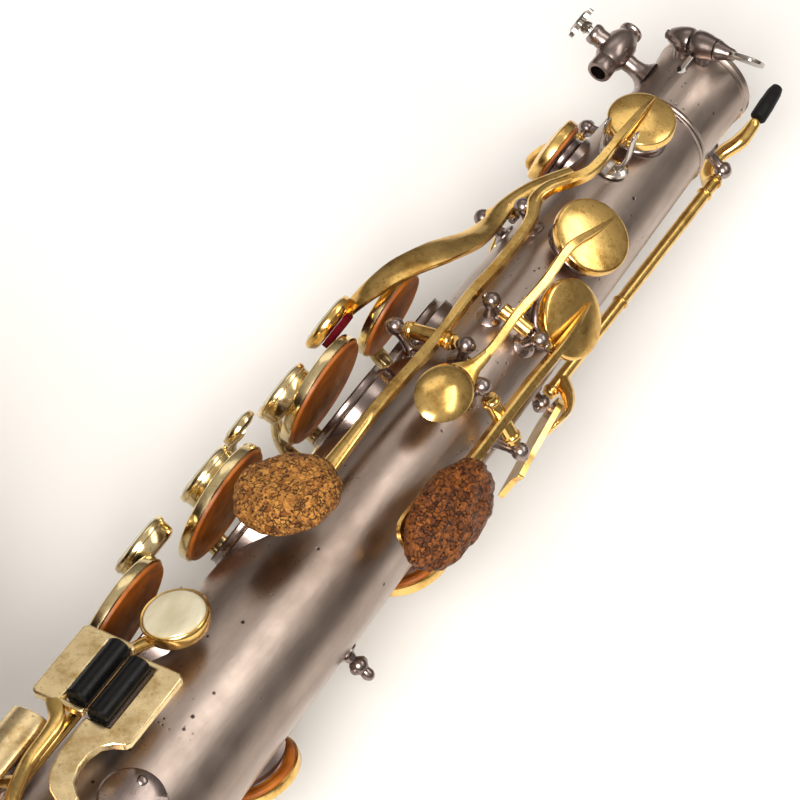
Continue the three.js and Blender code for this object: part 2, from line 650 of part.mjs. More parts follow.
function octavePipKey() {
  const cup = padCup(frameAt(150, 150, outerRadius(150) + 2), 9);
  const lever = arm([above(148, 150, 8), above(166, 150, 6.6), above(176, 150, 6.4)], 1.4);
  return join(cup, lever, hingeRod(hinges.octavePip, 1.8));
}

// A stack key: its cup is drawn closed, then the whole is opened about the rod.
function stackKey(pad, hinge, rodPlace) {
  const [rodX, rodZ] = rodPlace;
  const seat = -(outerRadius(pad.down) + PAD_SEAT + CUP_HEIGHT);
  const closed = join(
    padCup(seatOf(pad), pad.cup),
    arm([point(rodX, pad.down, rodZ), point(seat + 3, pad.down, rodZ + 3), point(seat - 1, pad.down, -12),
      point(seat - 0.6, pad.down, 3)], 2));
  return moved(closed, turnAbout(hinge, -STACK_OPENING)).add(hingeRod(hinge));
}

// The arm that carries a pearl, drawn as it stands when the key is open.
function pearlArm(down, distance, rodPlace) {
  const [rodX, rodZ] = rodPlace;
  return arm([point(rodX, down, rodZ), point(rodX - 10, down, rodZ + 1), point(-distance + 2.5, down, rodZ + 12),
    point(-distance + 2.5, down, 0)], 1.8);
}

const pearlFrame = (down, distance) => frameAt(down, STACK_ANGLE, distance);

const DRUM = 4.6; // depth of a pearl's holder
const pearls = {
  b: { down: 186.5, distance: 39.3, radius: 9.8, depth: DRUM, rod: UPPER_ROD },
  bis: { down: 205, distance: 41.8, radius: 6, depth: 1.6, rod: UPPER_ROD },
  a: { down: 224, distance: 41, radius: 9.8, depth: DRUM, rod: UPPER_ROD },
  g: { down: 255, distance: 42.3, radius: 9.8, depth: DRUM, rod: UPPER_ROD },
  f: { down: 428, distance: 46.5, radius: 10, depth: DRUM, rod: LOWER_ROD },
  e: { down: 478, distance: 48, radius: 10, depth: DRUM, rod: LOWER_ROD },
  d: { down: 536, distance: 50, radius: 10, depth: DRUM, rod: LOWER_ROD },
};

function pearlCarrier(name) {
  const { down, distance, radius, depth, rod } = pearls[name];
  return join(pearlArm(down, distance, rod), pearlHolder(pearlFrame(down, distance), radius, depth));
}

const pearlOf = (name) => pearl(pearlFrame(pearls[name].down, pearls[name].distance), pearls[name].radius);

function gSharpKey() {
  const pad = pads.gSharp;
  const cup = padCup(seatOf(pad), pad.cup);
  const reach = arm([point(-25.9, 345, 20.3), point(-31, 344, 9), point(-33, 341, -3),
    cupTop(pad, CUP_HEIGHT - 0.6)], 1.5);
  const lever = arm([point(-25.9, 299, 20.3), point(-25.2, 294, 21.6), point(-20.3, 286, 25)], 1.6);
  return join(cup, reach, lever, hingeRod(hinges.gSharp, 2), pearlHolder(G_SHARP_PEARL, 9.6, 4));
}

const G_SHARP_PEARL = frameAt(281, -38, 35.2);

// The left-hand table: touches lie in planes that face between the front and the left side.
const TABLE_ANGLE = -30;
const TABLE_LEVEL = 37.3;
const touchPlate = (top, bottom, left, right, level, thickness = 2.5) => slab(
  frameAt((top + bottom) / 2, TABLE_ANGLE, level, (left + right) / 2), right - left, bottom - top, -thickness, 0);
const tablePoint = (down, shift, level) => new THREE.Vector3().setFromMatrixPosition(
  frameAt(down, TABLE_ANGLE, level, shift));

const rollers = {
  lowB: { shift: -10.4, top: 298.5, bottom: 319.5 },
  lowCSharp: { shift: -1.9, top: 301, bottom: 322 },
};
const ROLLER = 3.6;
const ROLLER_LEVEL = TABLE_LEVEL + 0.8;
const rollerHinge = ({ shift, top, bottom }) => ({
  start: tablePoint(top, shift, ROLLER_LEVEL), end: tablePoint(bottom, shift, ROLLER_LEVEL) });

const rollerOf = (name) => {
  const { start, end } = rollerHinge(rollers[name]);
  return rodBetween(start, end, ROLLER, 16);
};

// The notch in a plate that its roller turns in.
const rollerNotch = ({ shift, top, bottom }) => slab(
  frameAt((top + bottom) / 2, TABLE_ANGLE, TABLE_LEVEL, shift), 2 * ROLLER + 2, bottom - top + 2 * GAP, -6, 6);

function lowBKey() {
  const pad = bellPads.lowB;
  const seat = bellSeat(pad);
  const top = new THREE.Vector3(0, 0, CUP_HEIGHT).applyMatrix4(seat);
  const [x, z] = [hinges.lowB.start.x, hinges.lowB.start.z];
  const down = -top.y;
  const closed = join(padCup(seat, pad.cup), arm([point(x, down, z), point(x - 14, down, z + 8),
    point(-60, down, top.z + 1), point(top.x + 4, down, top.z + 1)], 2.4));
  const plate = touchPlate(295.6, 322, -24, -6.9, TABLE_LEVEL).subtract(rollerNotch(rollers.lowB));
  const lever = arm([tablePoint(316, -20, 36), tablePoint(326, -13, 36.6), tablePoint(342, -10.5, 36.8),
    point(-23, 360, 33), point(x, 370, z)], 1.8);
  return moved(closed, turnAbout(hinges.lowB, -BELL_KEY_OPENING)).add(hingeRod(hinges.lowB)).add(plate).add(lever);
}

const BELL_KEY_OPENING = 6.5;

function lowBbKey() {
  const pad = bellPads.lowBb;
  const seat = bellSeat(pad);
  const top = new THREE.Vector3(0, 0, CUP_HEIGHT).applyMatrix4(seat);
  const [x, z] = [hinges.lowBb.start.x, hinges.lowBb.start.z];
  const down = -top.y;
  const closed = join(padCup(seat, pad.cup), arm([point(x, down, z), point(x - 14, down, z + 12),
    point(-62, down, top.z + 1), point(top.x + 4, down, top.z + 1)], 2.4));
  const plate = touchPlate(326, 355, -27.5, -15.6, 34.6, 2.2);
  const lever = arm([tablePoint(350, -20, 33.6), tablePoint(362, -18, 33.6), point(-28, 374, 24), point(x, 380, z)],
    1.8);
  return moved(closed, turnAbout(hinges.lowBb, -BELL_KEY_OPENING)).add(hingeRod(hinges.lowBb)).add(plate).add(lever);
}

function lowCSharpKey() {
  const pad = pads.lowCSharp;
  const [x, z] = [hinges.lowCSharp.start.x, hinges.lowCSharp.start.z];
  const plate = touchPlate(298.4, 330, -5.3, 10.4, TABLE_LEVEL).subtract(rollerNotch(rollers.lowCSharp));
  const hook = arm([tablePoint(327, 3, 36), tablePoint(336, -3, 36.6), tablePoint(344, -2, 38),
    tablePoint(350, 6, 40), point(x, 355, z)], 2);
  const reach = arm([point(x, pad.down, z), point(x + 9, pad.down, z + 8), cupTop(pad, CUP_HEIGHT)], 2.2);
  return join(plate, hook, reach, padCup(seatOf(pad), pad.cup), hingeRod(hinges.lowCSharp));
}

function sideEKey() {
  const pad = pads.sideE;
  const reach = arm([point(-19, pad.down, -14), point(-25.5, pad.down, -12), cupTop(pad, CUP_HEIGHT)], 1.8);
  return join(padCup(seatOf(pad), pad.cup), reach, hingeRod(hinges.sideE, 2));
}

function sideKey(pad, hinge) {
  const { x, z } = hinge.start;
  const reach = arm([point(x, pad.down, z), point(x + 7, pad.down, z - 5), cupTop(pad, CUP_HEIGHT)], 1.9);
  return join(padCup(seatOf(pad), pad.cup), reach, hingeRod(hinge, 2));
}

const PADDLE = { width: 12, length: 30, level: -42.5 };

// A side lever: a long rod with a finger at its upper end and a paddle at its lower end.
function sideLever(hinge, finger, paddleX) {
  const knuckle = finger.clone().setY(hinge.start.y - 4).lerp(hinge.start.clone().setY(hinge.start.y - 4), 0.35);
  knuckle.z -= 2;
  const { x, z } = hinge.start;
  const low = -hinge.end.y - 16;
  const frame = frameAlong(point(paddleX, low, PADDLE.level), new THREE.Vector3(0, 0, -1));
  const paddle = slab(frame, PADDLE.width, PADDLE.length, -1.1, 1.1);
  const reach = arm([point(x, low, z), point(x + 3, low, PADDLE.level + 2), point(paddleX, low, PADDLE.level)], 2);
  const top = -hinge.start.y + 3;
  return join(hingeRod(hinge, 2), paddle, reach, arm([point(x, top + 4, z), knuckle, finger], 1.6));
}

function lowEbKey() {
  const pad = pads.lowEb;
  const { x, z } = hinges.lowEb.start;
  const reach = arm([point(x, pad.down, z), point(x + 8, pad.down, z - 5), cupTop(pad, CUP_HEIGHT)], 2.2);
  const plate = slab(frameAlong(point(-42, 582, -31), outward(-130)), 16, 24, -1.2, 1.2);
  const lever = arm([point(x, 582, z), point(-30, 582, -41), point(-42, 582, -31)], 2.2);
  return join(padCup(seatOf(pad), pad.cup), reach, plate, lever, hingeRod(hinges.lowEb));
}

const LOW_C_OPENING = 11;

function lowCKey() {
  const seat = lowCSeat();
  const { x, z } = hinges.lowC.start;
  const level = -(BOW_RADIUS + PAD_SEAT + CUP_HEIGHT + 0.8);
  const closed = join(padCup(seat, LOW_C_CUP), arm([point(x, 698, z), point(x - 7, 709, level - 0.5),
    point(LOW_C_PLACE.x, -LOW_C_PLACE.y, level)], 2.4));
  const plate = slab(frameAlong(point(-46, 606, -31), outward(-130)), 16, 22, -1.2, 1.2);
  const lever = arm([point(x, 604, z), point(-38, 605, -40), point(-46, 606, -31)], 2.2);
  return moved(closed, turnAbout(hinges.lowC, -LOW_C_OPENING)).add(hingeRod(hinges.lowC)).add(plate).add(lever);
}

// ---------------------------------------------------------------------------------------------
// Assembly

add('body_tube', bodyTube(), silver());
add('neck_receiver', neckReceiver(), silver());
add('clamp_screw', clampScrew(), silver(), clampAxis());
add('lyre_holder', lyreHolder(), silver());
add('lyre_screw', lyreScrew(), silver(), lyreAxis);
add('bow', bow(), silver());
add('bow_ferrule_body', ferrule(frameAlong(point(0, TUBE_END, 0), new THREE.Vector3(0, 1, 0))), silver());
add('bow_ferrule_bell', ferrule(bellFrame()), silver());
add('bell', bell(), silver());
add('bell_brace', bellBrace(), silver());
add('thumb_rest', thumbRest(), black());
add('thumb_hook', thumbHook(), silver());
add('strap_ring', strapRing(), silver());
add('palm_f_guide', palmFGuide(), silver());
add('low_key_guard', lowKeyGuard(), gold());
add('bell_key_guard', bellKeyGuard(), gold());
add('side_key_guide', sideKeyGuide(), gold());

add('palm_f_key', palmFKey(), gold(), hinges.palmF);
add('palm_f_cork', corkOn(palmFTouch, 26, 30.5), cork());
add('palm_eb_key', palmEbKey(), gold(), hinges.palmEb);
add('palm_d_key', palmDKey(), gold(), hinges.palmD);
add('palm_d_cork', corkOn(palmDTouch, 22, 38), cork());
add('front_f_key', frontFKey(), gold(), hinges.frontF);
add('front_f_pearl', pearl(FRONT_F_PEARL, 9), pearlWhite());
add('octave_key', octaveKey(), gold(), hinges.octave);
add('octave_tip', octaveTip(), black());
add('octave_pip_key', octavePipKey(), gold(), hinges.octavePip);

for (const name of ['b', 'a', 'g']) {
  add(`${name}_key`, stackKey(pads[name], hinges[name], UPPER_ROD).add(pearlCarrier(name)), paleGold(), hinges[name]);
}
add('c_key', stackKey(pads.c, hinges.c, UPPER_ROD), paleGold(), hinges.c);
add('bis_key', hingeRod(hinges.bis).add(pearlCarrier('bis')), paleGold(), hinges.bis);
for (const name of ['f', 'e', 'd']) {
  add(`${name}_key`, stackKey(pads[name], hinges[name], LOWER_ROD).add(pearlCarrier(name)), paleGold(), hinges[name]);
}
add('f_sharp_key', stackKey(pads.fSharp, hinges.fSharp, LOWER_ROD), paleGold(), hinges.fSharp);
for (const name of Object.keys(pearls)) add(`${name}_pearl`, pearlOf(name), pearlWhite());

add('g_sharp_key', gSharpKey(), gold(), hinges.gSharp);
add('g_sharp_pearl', pearl(G_SHARP_PEARL, 9.6), pearlWhite());
add('low_b_key', lowBKey(), gold(), hinges.lowB);
add('low_bb_key', lowBbKey(), gold(), hinges.lowBb);
add('low_c_sharp_key', lowCSharpKey(), gold(), hinges.lowCSharp);
add('low_b_roller', rollerOf('lowB'), black(), rollerHinge(rollers.lowB));
add('low_c_sharp_roller', rollerOf('lowCSharp'), black(), rollerHinge(rollers.lowCSharp));

add('side_e_key', sideEKey(), gold(), hinges.sideE);
add('side_c_key', sideKey(pads.sideC, hinges.sideC), gold(), hinges.sideC);
add('side_bb_key', sideKey(pads.sideBb, hinges.sideBb), gold(), hinges.sideBb);
add('side_e_lever', sideLever(hinges.sideELever, point(-19, 78, -22), 13), gold(), hinges.sideELever);
add('side_c_lever', sideLever(hinges.sideCLever, point(3.5, 209, -34), 14), gold(), hinges.sideCLever);
add('side_bb_lever', sideLever(hinges.sideBbLever, point(9, 297, -37), 17), gold(), hinges.sideBbLever);
add('low_eb_key', lowEbKey(), gold(), hinges.lowEb);
add('low_c_key', lowCKey(), gold(), hinges.lowC);

// ---------------------------------------------------------------------------------------------
// At rest on a table: the bell rim, the low guard and the side guide touch it

const SETTLING_ROUNDS = 12;
const contacts = ['bell', 'low_key_guard', 'side_key_guide'].map((name) => instrument.getObjectByName(name));

function lowestCorner(mesh, up) {
  const corners = mesh.geometry.attributes.position;
  const lowest = new THREE.Vector3().fromBufferAttribute(corners, 0);
  const corner = new THREE.Vector3();
  for (let index = 1; index < corners.count; index += 1) {
    corner.fromBufferAttribute(corners, index);
    if (corner.dot(up) < lowest.dot(up)) lowest.copy(corner);
  }
  return lowest;
}

const tableNormal = new THREE.Vector3(0, 0, 1);
for (let round = 0; round < SETTLING_ROUNDS; round += 1) {
  const [rim, low, side] = contacts.map((mesh) => lowestCorner(mesh, tableNormal));
  tableNormal.crossVectors(low.sub(rim), side.sub(rim)).normalize();
  if (tableNormal.z < 0) tableNormal.negate();
}
instrument.quaternion.setFromUnitVectors(tableNormal, new THREE.Vector3(0, 0, 1));
root.updateMatrixWorld(true);
const box = new THREE.Box3().setFromObject(root, true);
instrument.position.set(-(box.min.x + box.max.x) / 2, -(box.min.y + box.max.y) / 2, -box.min.z);
root.updateMatrixWorld(true);

export default root;
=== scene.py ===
"""Looks of a tenor saxophone body that lies on its right side.

Shapes are drawn in the instrument's own frame, in millimetres: the tube's axis is Y with the neck end
at 0, "down" is the distance below it, and an angle round the tube is 0 towards +Z (the player's left),
-90 towards -X (the front, where the bell is) and +90 towards +X (the back). piece() carries every shape
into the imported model's frame, in metres.
"""

import json
import math

import bpy
import bmesh
from mathutils import Matrix, Vector, noise

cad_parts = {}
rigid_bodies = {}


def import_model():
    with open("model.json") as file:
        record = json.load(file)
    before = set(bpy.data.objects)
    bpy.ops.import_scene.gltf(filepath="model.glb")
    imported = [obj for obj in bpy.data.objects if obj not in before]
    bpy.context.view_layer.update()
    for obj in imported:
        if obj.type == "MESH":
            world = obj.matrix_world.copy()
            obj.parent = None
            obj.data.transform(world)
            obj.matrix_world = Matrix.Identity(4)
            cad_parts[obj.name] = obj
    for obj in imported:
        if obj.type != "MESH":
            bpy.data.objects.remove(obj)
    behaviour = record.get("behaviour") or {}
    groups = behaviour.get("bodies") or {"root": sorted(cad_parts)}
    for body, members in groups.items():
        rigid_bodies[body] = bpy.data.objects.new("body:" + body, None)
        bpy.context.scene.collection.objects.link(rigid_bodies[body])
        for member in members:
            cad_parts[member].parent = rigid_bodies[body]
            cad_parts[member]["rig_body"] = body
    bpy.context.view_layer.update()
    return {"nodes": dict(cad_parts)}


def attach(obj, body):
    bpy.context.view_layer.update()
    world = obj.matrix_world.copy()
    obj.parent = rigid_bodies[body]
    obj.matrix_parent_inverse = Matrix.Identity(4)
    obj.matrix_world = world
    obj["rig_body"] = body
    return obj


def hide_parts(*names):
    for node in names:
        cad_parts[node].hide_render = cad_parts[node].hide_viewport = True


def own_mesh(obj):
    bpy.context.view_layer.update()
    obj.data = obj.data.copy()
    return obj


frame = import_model()

# ---- Dimensions in millimetres and degrees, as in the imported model

MM = 0.001
UP = Vector((0, 1, 0))  # towards the neck
DOWN = Vector((0, -1, 0))
LEFT = Vector((0, 0, 1))  # the player's left
RIGHT = Vector((0, 0, -1))
TABLE_NORMAL = Vector((-0.165809, -0.006787, 0.986135))  # the table's normal in the instrument's frame
NECK_END = Vector((0.072714, 0.379508, 0.054156))  # where the instrument's origin is, in metres
RECEIVER_LENGTH = 30
RECEIVER_BORE = 13
TUBE_TOP_RADIUS = 16
TUBE_GROWTH = 0.0285
TUBE_END = 690
WALL = 1.2
BOW_SPAN = 104
BOW_RADIUS = 36.2
BELL_LEAN = 3.2
BELL_SEAM = 2.4
BELL_RIM_HEIGHT = 347.6
# Height up the bell and its radius there
BELL_PROFILE = [
    (0, 36.2), (100, 39.5), (180, 42.5), (240, 46.5), (285, 53), (315, 61), (335, 69.5), (345, 75),
]
CHIMNEY = 3
CHIMNEY_INSET = 3.5  # how much smaller a tone hole's chimney is than its cup, in radius
HOLE_INSET = 4.6  # and how much smaller its bore is
SEAT = 3.3
BELL_LIFT = 1.2  # how much further out the bell's tone holes and pads stand
CUP_HEIGHT = 5.6
HINGE_TUBE = 2.4
POST_BALL = 2.75
STACK = -90
TABLE_ANGLE = -30
TABLE_LEVEL = 37.3
STACK_OPENING = 13
BELL_KEY_OPENING = 6.5
LOW_C_OPENING = 11


def outer_radius(down):
    return TUBE_TOP_RADIUS + TUBE_GROWTH * (down - RECEIVER_LENGTH)


# ---- Places in the instrument's frame

TURN_TO_ROW = TABLE_NORMAL.rotation_difference(Vector((0, 0, 1))).to_matrix()
TO_ROW = Matrix.Translation(NECK_END) @ TURN_TO_ROW.to_4x4() @ Matrix.Scale(MM, 4)


def outward(angle):
    turn = math.radians(angle)
    return Vector((math.sin(turn), 0, math.cos(turn)))


def sideways(angle):
    turn = math.radians(angle)
    return Vector((math.cos(turn), 0, -math.sin(turn)))


def point(x, down, z):
    return Vector((x, -down, z))


def points(*spots):
    return [point(*spot) for spot in spots]


def around(down, angle, distance):
    return outward(angle) * distance + Vector((0, -down, 0))


def above(down, angle, height):
    return around(down, angle, outer_radius(down) + height)


def over_tube(*spots):
    """Points from (distance down, angle, height over the tube)."""
    return [above(*spot) for spot in spots]


def axes(x, y, z, origin):
    """A frame from three unit axes and an origin."""
    matrix = Matrix((x, y, z)).transposed().to_4x4()
    matrix.translation = origin
    return matrix


def frame_at(down, angle, distance, shift=0):
    """A frame whose Z points outward, X runs round the tube and Y runs up the tube."""
    place = around(down, angle, distance) + sideways(angle) * shift
    return axes(sideways(angle), UP, outward(angle), place)


def frame_above(down, angle, height, shift=0):
    return frame_at(down, angle, outer_radius(down) + height, shift)


def frame_along(origin, direction):
    turn = Vector((0, 0, 1)).rotation_difference(direction)
    return Matrix.Translation(origin) @ turn.to_matrix().to_4x4()


def turn_about(hinge, degrees):
    start, end = hinge
    rotation = Matrix.Rotation(math.radians(degrees), 4, (end - start).normalized())
    return Matrix.Translation(start) @ rotation @ Matrix.Translation(-start)


# ---- Forms: corners and faces


class Form:
    """Corners and faces of a shape, in the instrument's frame."""

    def __init__(self, corners=(), faces=()):
        self.corners = list(corners)
        self.faces = list(faces)

    def __add__(self, other):
        first = len(self.corners)
        shifted = [[first + index for index in face] for face in other.faces]
        return Form(self.corners + other.corners, self.faces + shifted)

    def moved(self, matrix):
        return Form([matrix @ corner for corner in self.corners], self.faces)


def together(forms):
    return sum(forms, Form())


def skin(rings, closed=False):
    """Faces between rings of corner numbers; a ring that repeats one number is a pole."""
    faces = []
    pairs = list(zip(rings, rings[1:]))
    if closed:
        pairs.append((rings[-1], rings[0]))
    for low, high in pairs:
        for i in range(len(low)):
            j = (i + 1) % len(low)
            loop = []
            for corner in (low[i], low[j], high[j], high[i]):
                if corner not in loop:
                    loop.append(corner)
            if len(loop) > 2:
                faces.append(loop)
    return faces


def turned(profile, place=None, sides=40, closed=False):
    """A round form from (radius, height) pairs about Z."""
    corners = []
    rings = []
    for radius, height in profile:
        first = len(corners)
        if radius == 0:
            corners.append(Vector((0, 0, height)))
            rings.append([first] * sides)
            continue
        for i in range(sides):
            turn = math.tau * i / sides
            corners.append(Vector((radius * math.cos(turn), radius * math.sin(turn), height)))
        rings.append(list(range(first, first + sides)))
    form = Form(corners, skin(rings, closed))
    return form.moved(place) if place else form


def curve(path, steps=8):
    """Points on a centripetal curve through the given ones."""
    ends = [path[0] * 2 - path[1]] + list(path) + [path[-1] * 2 - path[-2]]
    result = [path[0].copy()]
    for a, b, c, d in zip(ends, ends[1:], ends[2:], ends[3:]):
        before, within, after = [max((q - p).length, 1e-6) ** 0.5 for p, q in ((a, b), (b, c), (c, d))]
        leave = ((b - a) / before - (c - a) / (before + within) + (c - b) / within) * within
        arrive = ((c - b) / within - (d - b) / (within + after) + (d - c) / after) * within
        for i in range(1, steps + 1):
            t = i / steps
            square = t * t
            cube = square * t
            result.append(
                b * (2 * cube - 3 * square + 1)
                + c * (3 * square - 2 * cube)
                + leave * (cube - 2 * square + t)
                + arrive * (cube - square)
            )
    return result


def swept(through, sizes, facing=None, sides=16, square=2.8, steps=8, end=0.55):
    """A bar along a curve. sizes holds (width, thickness) for each point, or one pair for all of them.

    The thickness is measured along facing, or away from the tube's axis where facing is None. square is
    2 for an oval section and more for a section with flatter sides. end is how small its ends are."""
    if isinstance(sizes, tuple):
        sizes = [sizes] * len(through)
    path = curve(through, steps)
    corners = []
    rings = []
    count = len(path)
    for index, spot in enumerate(path):
        tangent = (path[min(index + 1, count - 1)] - path[max(index - 1, 0)]).normalized()
        normal = facing if facing is not None else Vector((spot.x, 0, spot.z))
        normal = (normal - tangent * normal.dot(tangent)).normalized()
        across = tangent.cross(normal)
        along = index / steps
        low = min(int(along), len(sizes) - 2)
        mix = along - low
        width = sizes[low][0] * (1 - mix) + sizes[low + 1][0] * mix
        thickness = sizes[low][1] * (1 - mix) + sizes[low + 1][1] * mix
        from_end = min(index, count - 1 - index)
        shrink = end + (1 - end) * min(from_end / 2, 1) ** 0.5
        first = len(corners)
        for side in range(sides):
            turn = math.tau * (side + 0.5) / sides
            reach = (abs(math.cos(turn)) ** square + abs(math.sin(turn)) ** square) ** (-1 / square)
            corners.append(
                spot
                + across * (reach * math.cos(turn) * width / 2 * shrink)
                + normal * (reach * math.sin(turn) * thickness / 2 * shrink)
            )
        rings.append(list(range(first, first + sides)))
    return Form(corners, skin(rings) + [rings[0][::-1], rings[-1]])


def slab(outline, place, low, high):
    """A flat plate from an outline of (x, y) pairs in a frame."""
    count = len(outline)
    corners = [place @ Vector((x, y, low)) for x, y in outline]
    corners += [place @ Vector((x, y, high)) for x, y in outline]
    faces = [list(range(count))[::-1], list(range(count, 2 * count))]
    for i in range(count):
        j = (i + 1) % count
        faces.append([i, j, j + count, i + count])
    return Form(corners, faces)


def rounded(outline, radius, steps=4):
    """The outline with each corner cut to an arc of about that radius."""
    result = []
    spots = [Vector((x, y, 0)) for x, y in outline]
    for before, corner, after in zip(spots[-1:] + spots[:-1], spots, spots[1:] + spots[:1]):
        inward = (before - corner).normalized() * min(radius, (before - corner).length / 2.1)
        onward = (after - corner).normalized() * min(radius, (after - corner).length / 2.1)
        for i in range(steps + 1):
            t = i / steps
            spot = corner + inward * (1 - t) ** 2 + onward * t**2
            result.append((spot.x, spot.y))
    return result


def oblong(width, length, radius=0):
    half, reach = width / 2, length / 2
    outline = [(-half, -reach), (half, -reach), (half, reach), (-half, reach)]
    return rounded(outline, radius) if radius else outline


def rod(start, end, radius, sides=24, edge=0.3):
    length = (end - start).length
    eased = radius - edge
    profile = [(0, 0), (eased, 0), (radius, edge), (radius, length - edge), (eased, length), (0, length)]
    return turned(profile, frame_along(start, end - start), sides)


def collar(start, end, where, radius, width=1.4, sides=24):
    """A narrow ring round the line from start to end, at a distance along it."""
    half = width / 2
    flat = half * 0.4
    eased = radius - 0.25
    profile = [(0, -half), (eased, -half), (radius, -flat), (radius, flat), (eased, half), (0, half)]
    place = frame_along(start + (end - start).normalized() * where, end - start)
    return turned(profile, place, sides)


def ball(place, radius, sides=24):
    steps = sides // 2
    turns = [math.pi * i / steps for i in range(steps + 1)]
    profile = [(radius * math.sin(turn), -radius * math.cos(turn)) for turn in turns]
    profile[0] = (0, -radius)
    profile[-1] = (0, radius)
    return turned(profile, Matrix.Translation(place), sides)


# ---- Materials


class Surface:
    """A material under construction, with the object's own coordinates as its pattern space."""

    def __init__(self, name, metallic=0.0, roughness=0.5):
        self.material = bpy.data.materials.new(name)
        self.material.use_nodes = True
        self.tree = self.material.node_tree
        self.shader = self.tree.nodes["Principled BSDF"]
        self.space = self.tree.nodes.new("ShaderNodeTexCoord").outputs["Object"]
        self.normal = None
        self.set("Metallic", metallic)
        self.set("Roughness", roughness)

    def set(self, name, value):
        self.shader.inputs[name].default_value = value

    def link(self, source, target):
        self.tree.links.new(source, target)

    def node(self, kind, **inputs):
        """A new node with the given values in its inputs."""
        node = self.tree.nodes.new("ShaderNode" + kind)
        for name, value in inputs.items():
            node.inputs[name].default_value = value
        return node

    def lengthwise(self, share):
        """The pattern space drawn out along the tube."""
        node = self.node("Mapping", Scale=(1, share, 1))
        self.link(self.space, node.inputs["Vector"])
        return node.outputs["Vector"]

    def noise(self, scale, detail=4.0, roughness=0.55, space=None):
        node = self.node("TexNoise", Scale=scale, Detail=detail, Roughness=roughness)
        self.link(space or self.space, node.inputs["Vector"])
        return node.outputs["Fac"]

    def rippled(self, scale, amount):
        """The pattern space pushed about by noise."""
        ripple = self.node("TexNoise", Scale=scale, Detail=3)
        self.link(self.space, ripple.inputs["Vector"])
        push = self.node("VectorMath")
        push.operation = "MULTIPLY_ADD"
        push.inputs[1].default_value = (amount, amount, amount)
        self.link(ripple.outputs["Color"], push.inputs[0])
        self.link(self.space, push.inputs[2])
        return push.outputs["Vector"]

    def cells(self, scale, feature="F1", output="Distance", space=None):
        node = self.node("TexVoronoi")
        node.feature = feature
        node.inputs["Scale"].default_value = scale
        self.link(space or self.space, node.inputs["Vector"])
        return node.outputs[output]

    def ramp(self, value, *stops):
        node = self.node("ValToRGB")
        elements = node.color_ramp.elements
        while len(elements) < len(stops):
            elements.new(0.5)
        for element, (position, color) in zip(elements, stops):
            element.position = position
            element.color = (*color, 1) if isinstance(color, tuple) else (color, color, color, 1)
        self.link(value, node.inputs["Fac"])
        return node.outputs["Color"]

    def mix(self, factor, first, second, mode="MIX"):
        node = self.node("MixRGB")
        node.blend_type = mode
        for value, socket in ((factor, "Fac"), (first, "Color1"), (second, "Color2")):
            if isinstance(value, tuple):
                node.inputs[socket].default_value = (*value, 1)
            elif isinstance(value, float):
                node.inputs[socket].default_value = value
            else:
                self.link(value, node.inputs[socket])
        return node.outputs["Color"]

    def inverse(self, value):
        return self.mix(1.0, (1.0, 1.0, 1.0), value, "SUBTRACT")

    def color(self, source):
        self.link(source, self.shader.inputs["Base Color"])

    def roughness(self, source):
        self.link(source, self.shader.inputs["Roughness"])

    def bump(self, height, distance, strength=1.0):
        node = self.node("Bump", Strength=strength, Distance=distance)
        self.link(height, node.inputs["Height"])
        if self.normal:
            self.link(self.normal, node.inputs["Normal"])
        self.normal = node.outputs["Normal"]
        self.link(self.normal, self.shader.inputs["Normal"])


def shade(color, factor):
    return tuple(min(1, channel * factor) for channel in color)


def flecks(surface, scale, share, size, where=None):
    """Small round spots: one in a share of the cells, perhaps only where a mask allows."""
    spot = surface.ramp(surface.cells(scale), (size * 0.5, 1.0), (size, 0.0))
    chosen = surface.ramp(surface.cells(scale, output="Color"), (1 - share, 0.0), (1.04 - share, 1.0))
    spots = surface.mix(1.0, spot, chosen, "MULTIPLY")
    return surface.mix(1.0, spots, where, "MULTIPLY") if where else spots


def silver(name, light, dark, gloss=(0.27, 0.42), pitted=True):
    """Satin silver plate with brown tarnish in clouds, lengthwise wear and small dark pits."""
    surface = Surface(name, metallic=1.0)
    clouds = surface.noise(22, 7, 0.62, surface.lengthwise(0.45))
    streaks = surface.noise(150, 6, 0.62, surface.lengthwise(0.1))
    base = surface.ramp(clouds, (0.3, dark), (0.54, light), (0.8, shade(light, 1.1)))
    worn = surface.mix(surface.ramp(streaks, (0.38, 0.0), (0.75, 0.55)), base, shade(dark, 0.66))
    if pitted:
        patches = surface.ramp(surface.noise(15, 4, 0.6), (0.46, 0.0), (0.58, 1.0))
        wide = flecks(surface, 210, 0.3, 0.15)
        fine = flecks(surface, 560, 0.42, 0.24, patches)
        pits = surface.mix(1.0, wide, fine, "LIGHTEN")
        worn = surface.mix(pits, worn, (0.05, 0.036, 0.03))
        surface.bump(surface.inverse(pits), 0.0002, 0.5)
    surface.color(worn)
    surface.roughness(surface.ramp(surface.noise(80, 6, 0.65), (0.3, gloss[0]), (0.7, gloss[1])))
    surface.bump(surface.noise(650, 4, 0.65, surface.lengthwise(0.3)), 0.0001, 0.4)
    return surface.material


def brass(name, light, dark, gloss=(0.14, 0.3)):
    """Gold-coloured plate, lighter and browner in random clouds, glossier in some patches, with brown specks.
    """
    surface = Surface(name, metallic=1.0)
    clouds = surface.noise(85, 8, 0.7)
    specks = surface.noise(700, 6, 0.75)
    base = surface.ramp(clouds, (0.36, dark), (0.5, light), (0.72, shade(light, 1.08)))
    spots = surface.ramp(specks, (0.56, 0.0), (0.72, 0.85))
    surface.color(surface.mix(spots, base, shade(dark, 0.5)))
    surface.roughness(surface.ramp(surface.noise(160, 5), (0.32, gloss[0]), (0.72, gloss[1])))
    surface.bump(surface.noise(260, 3), 0.00006, 0.25)
    return surface.material


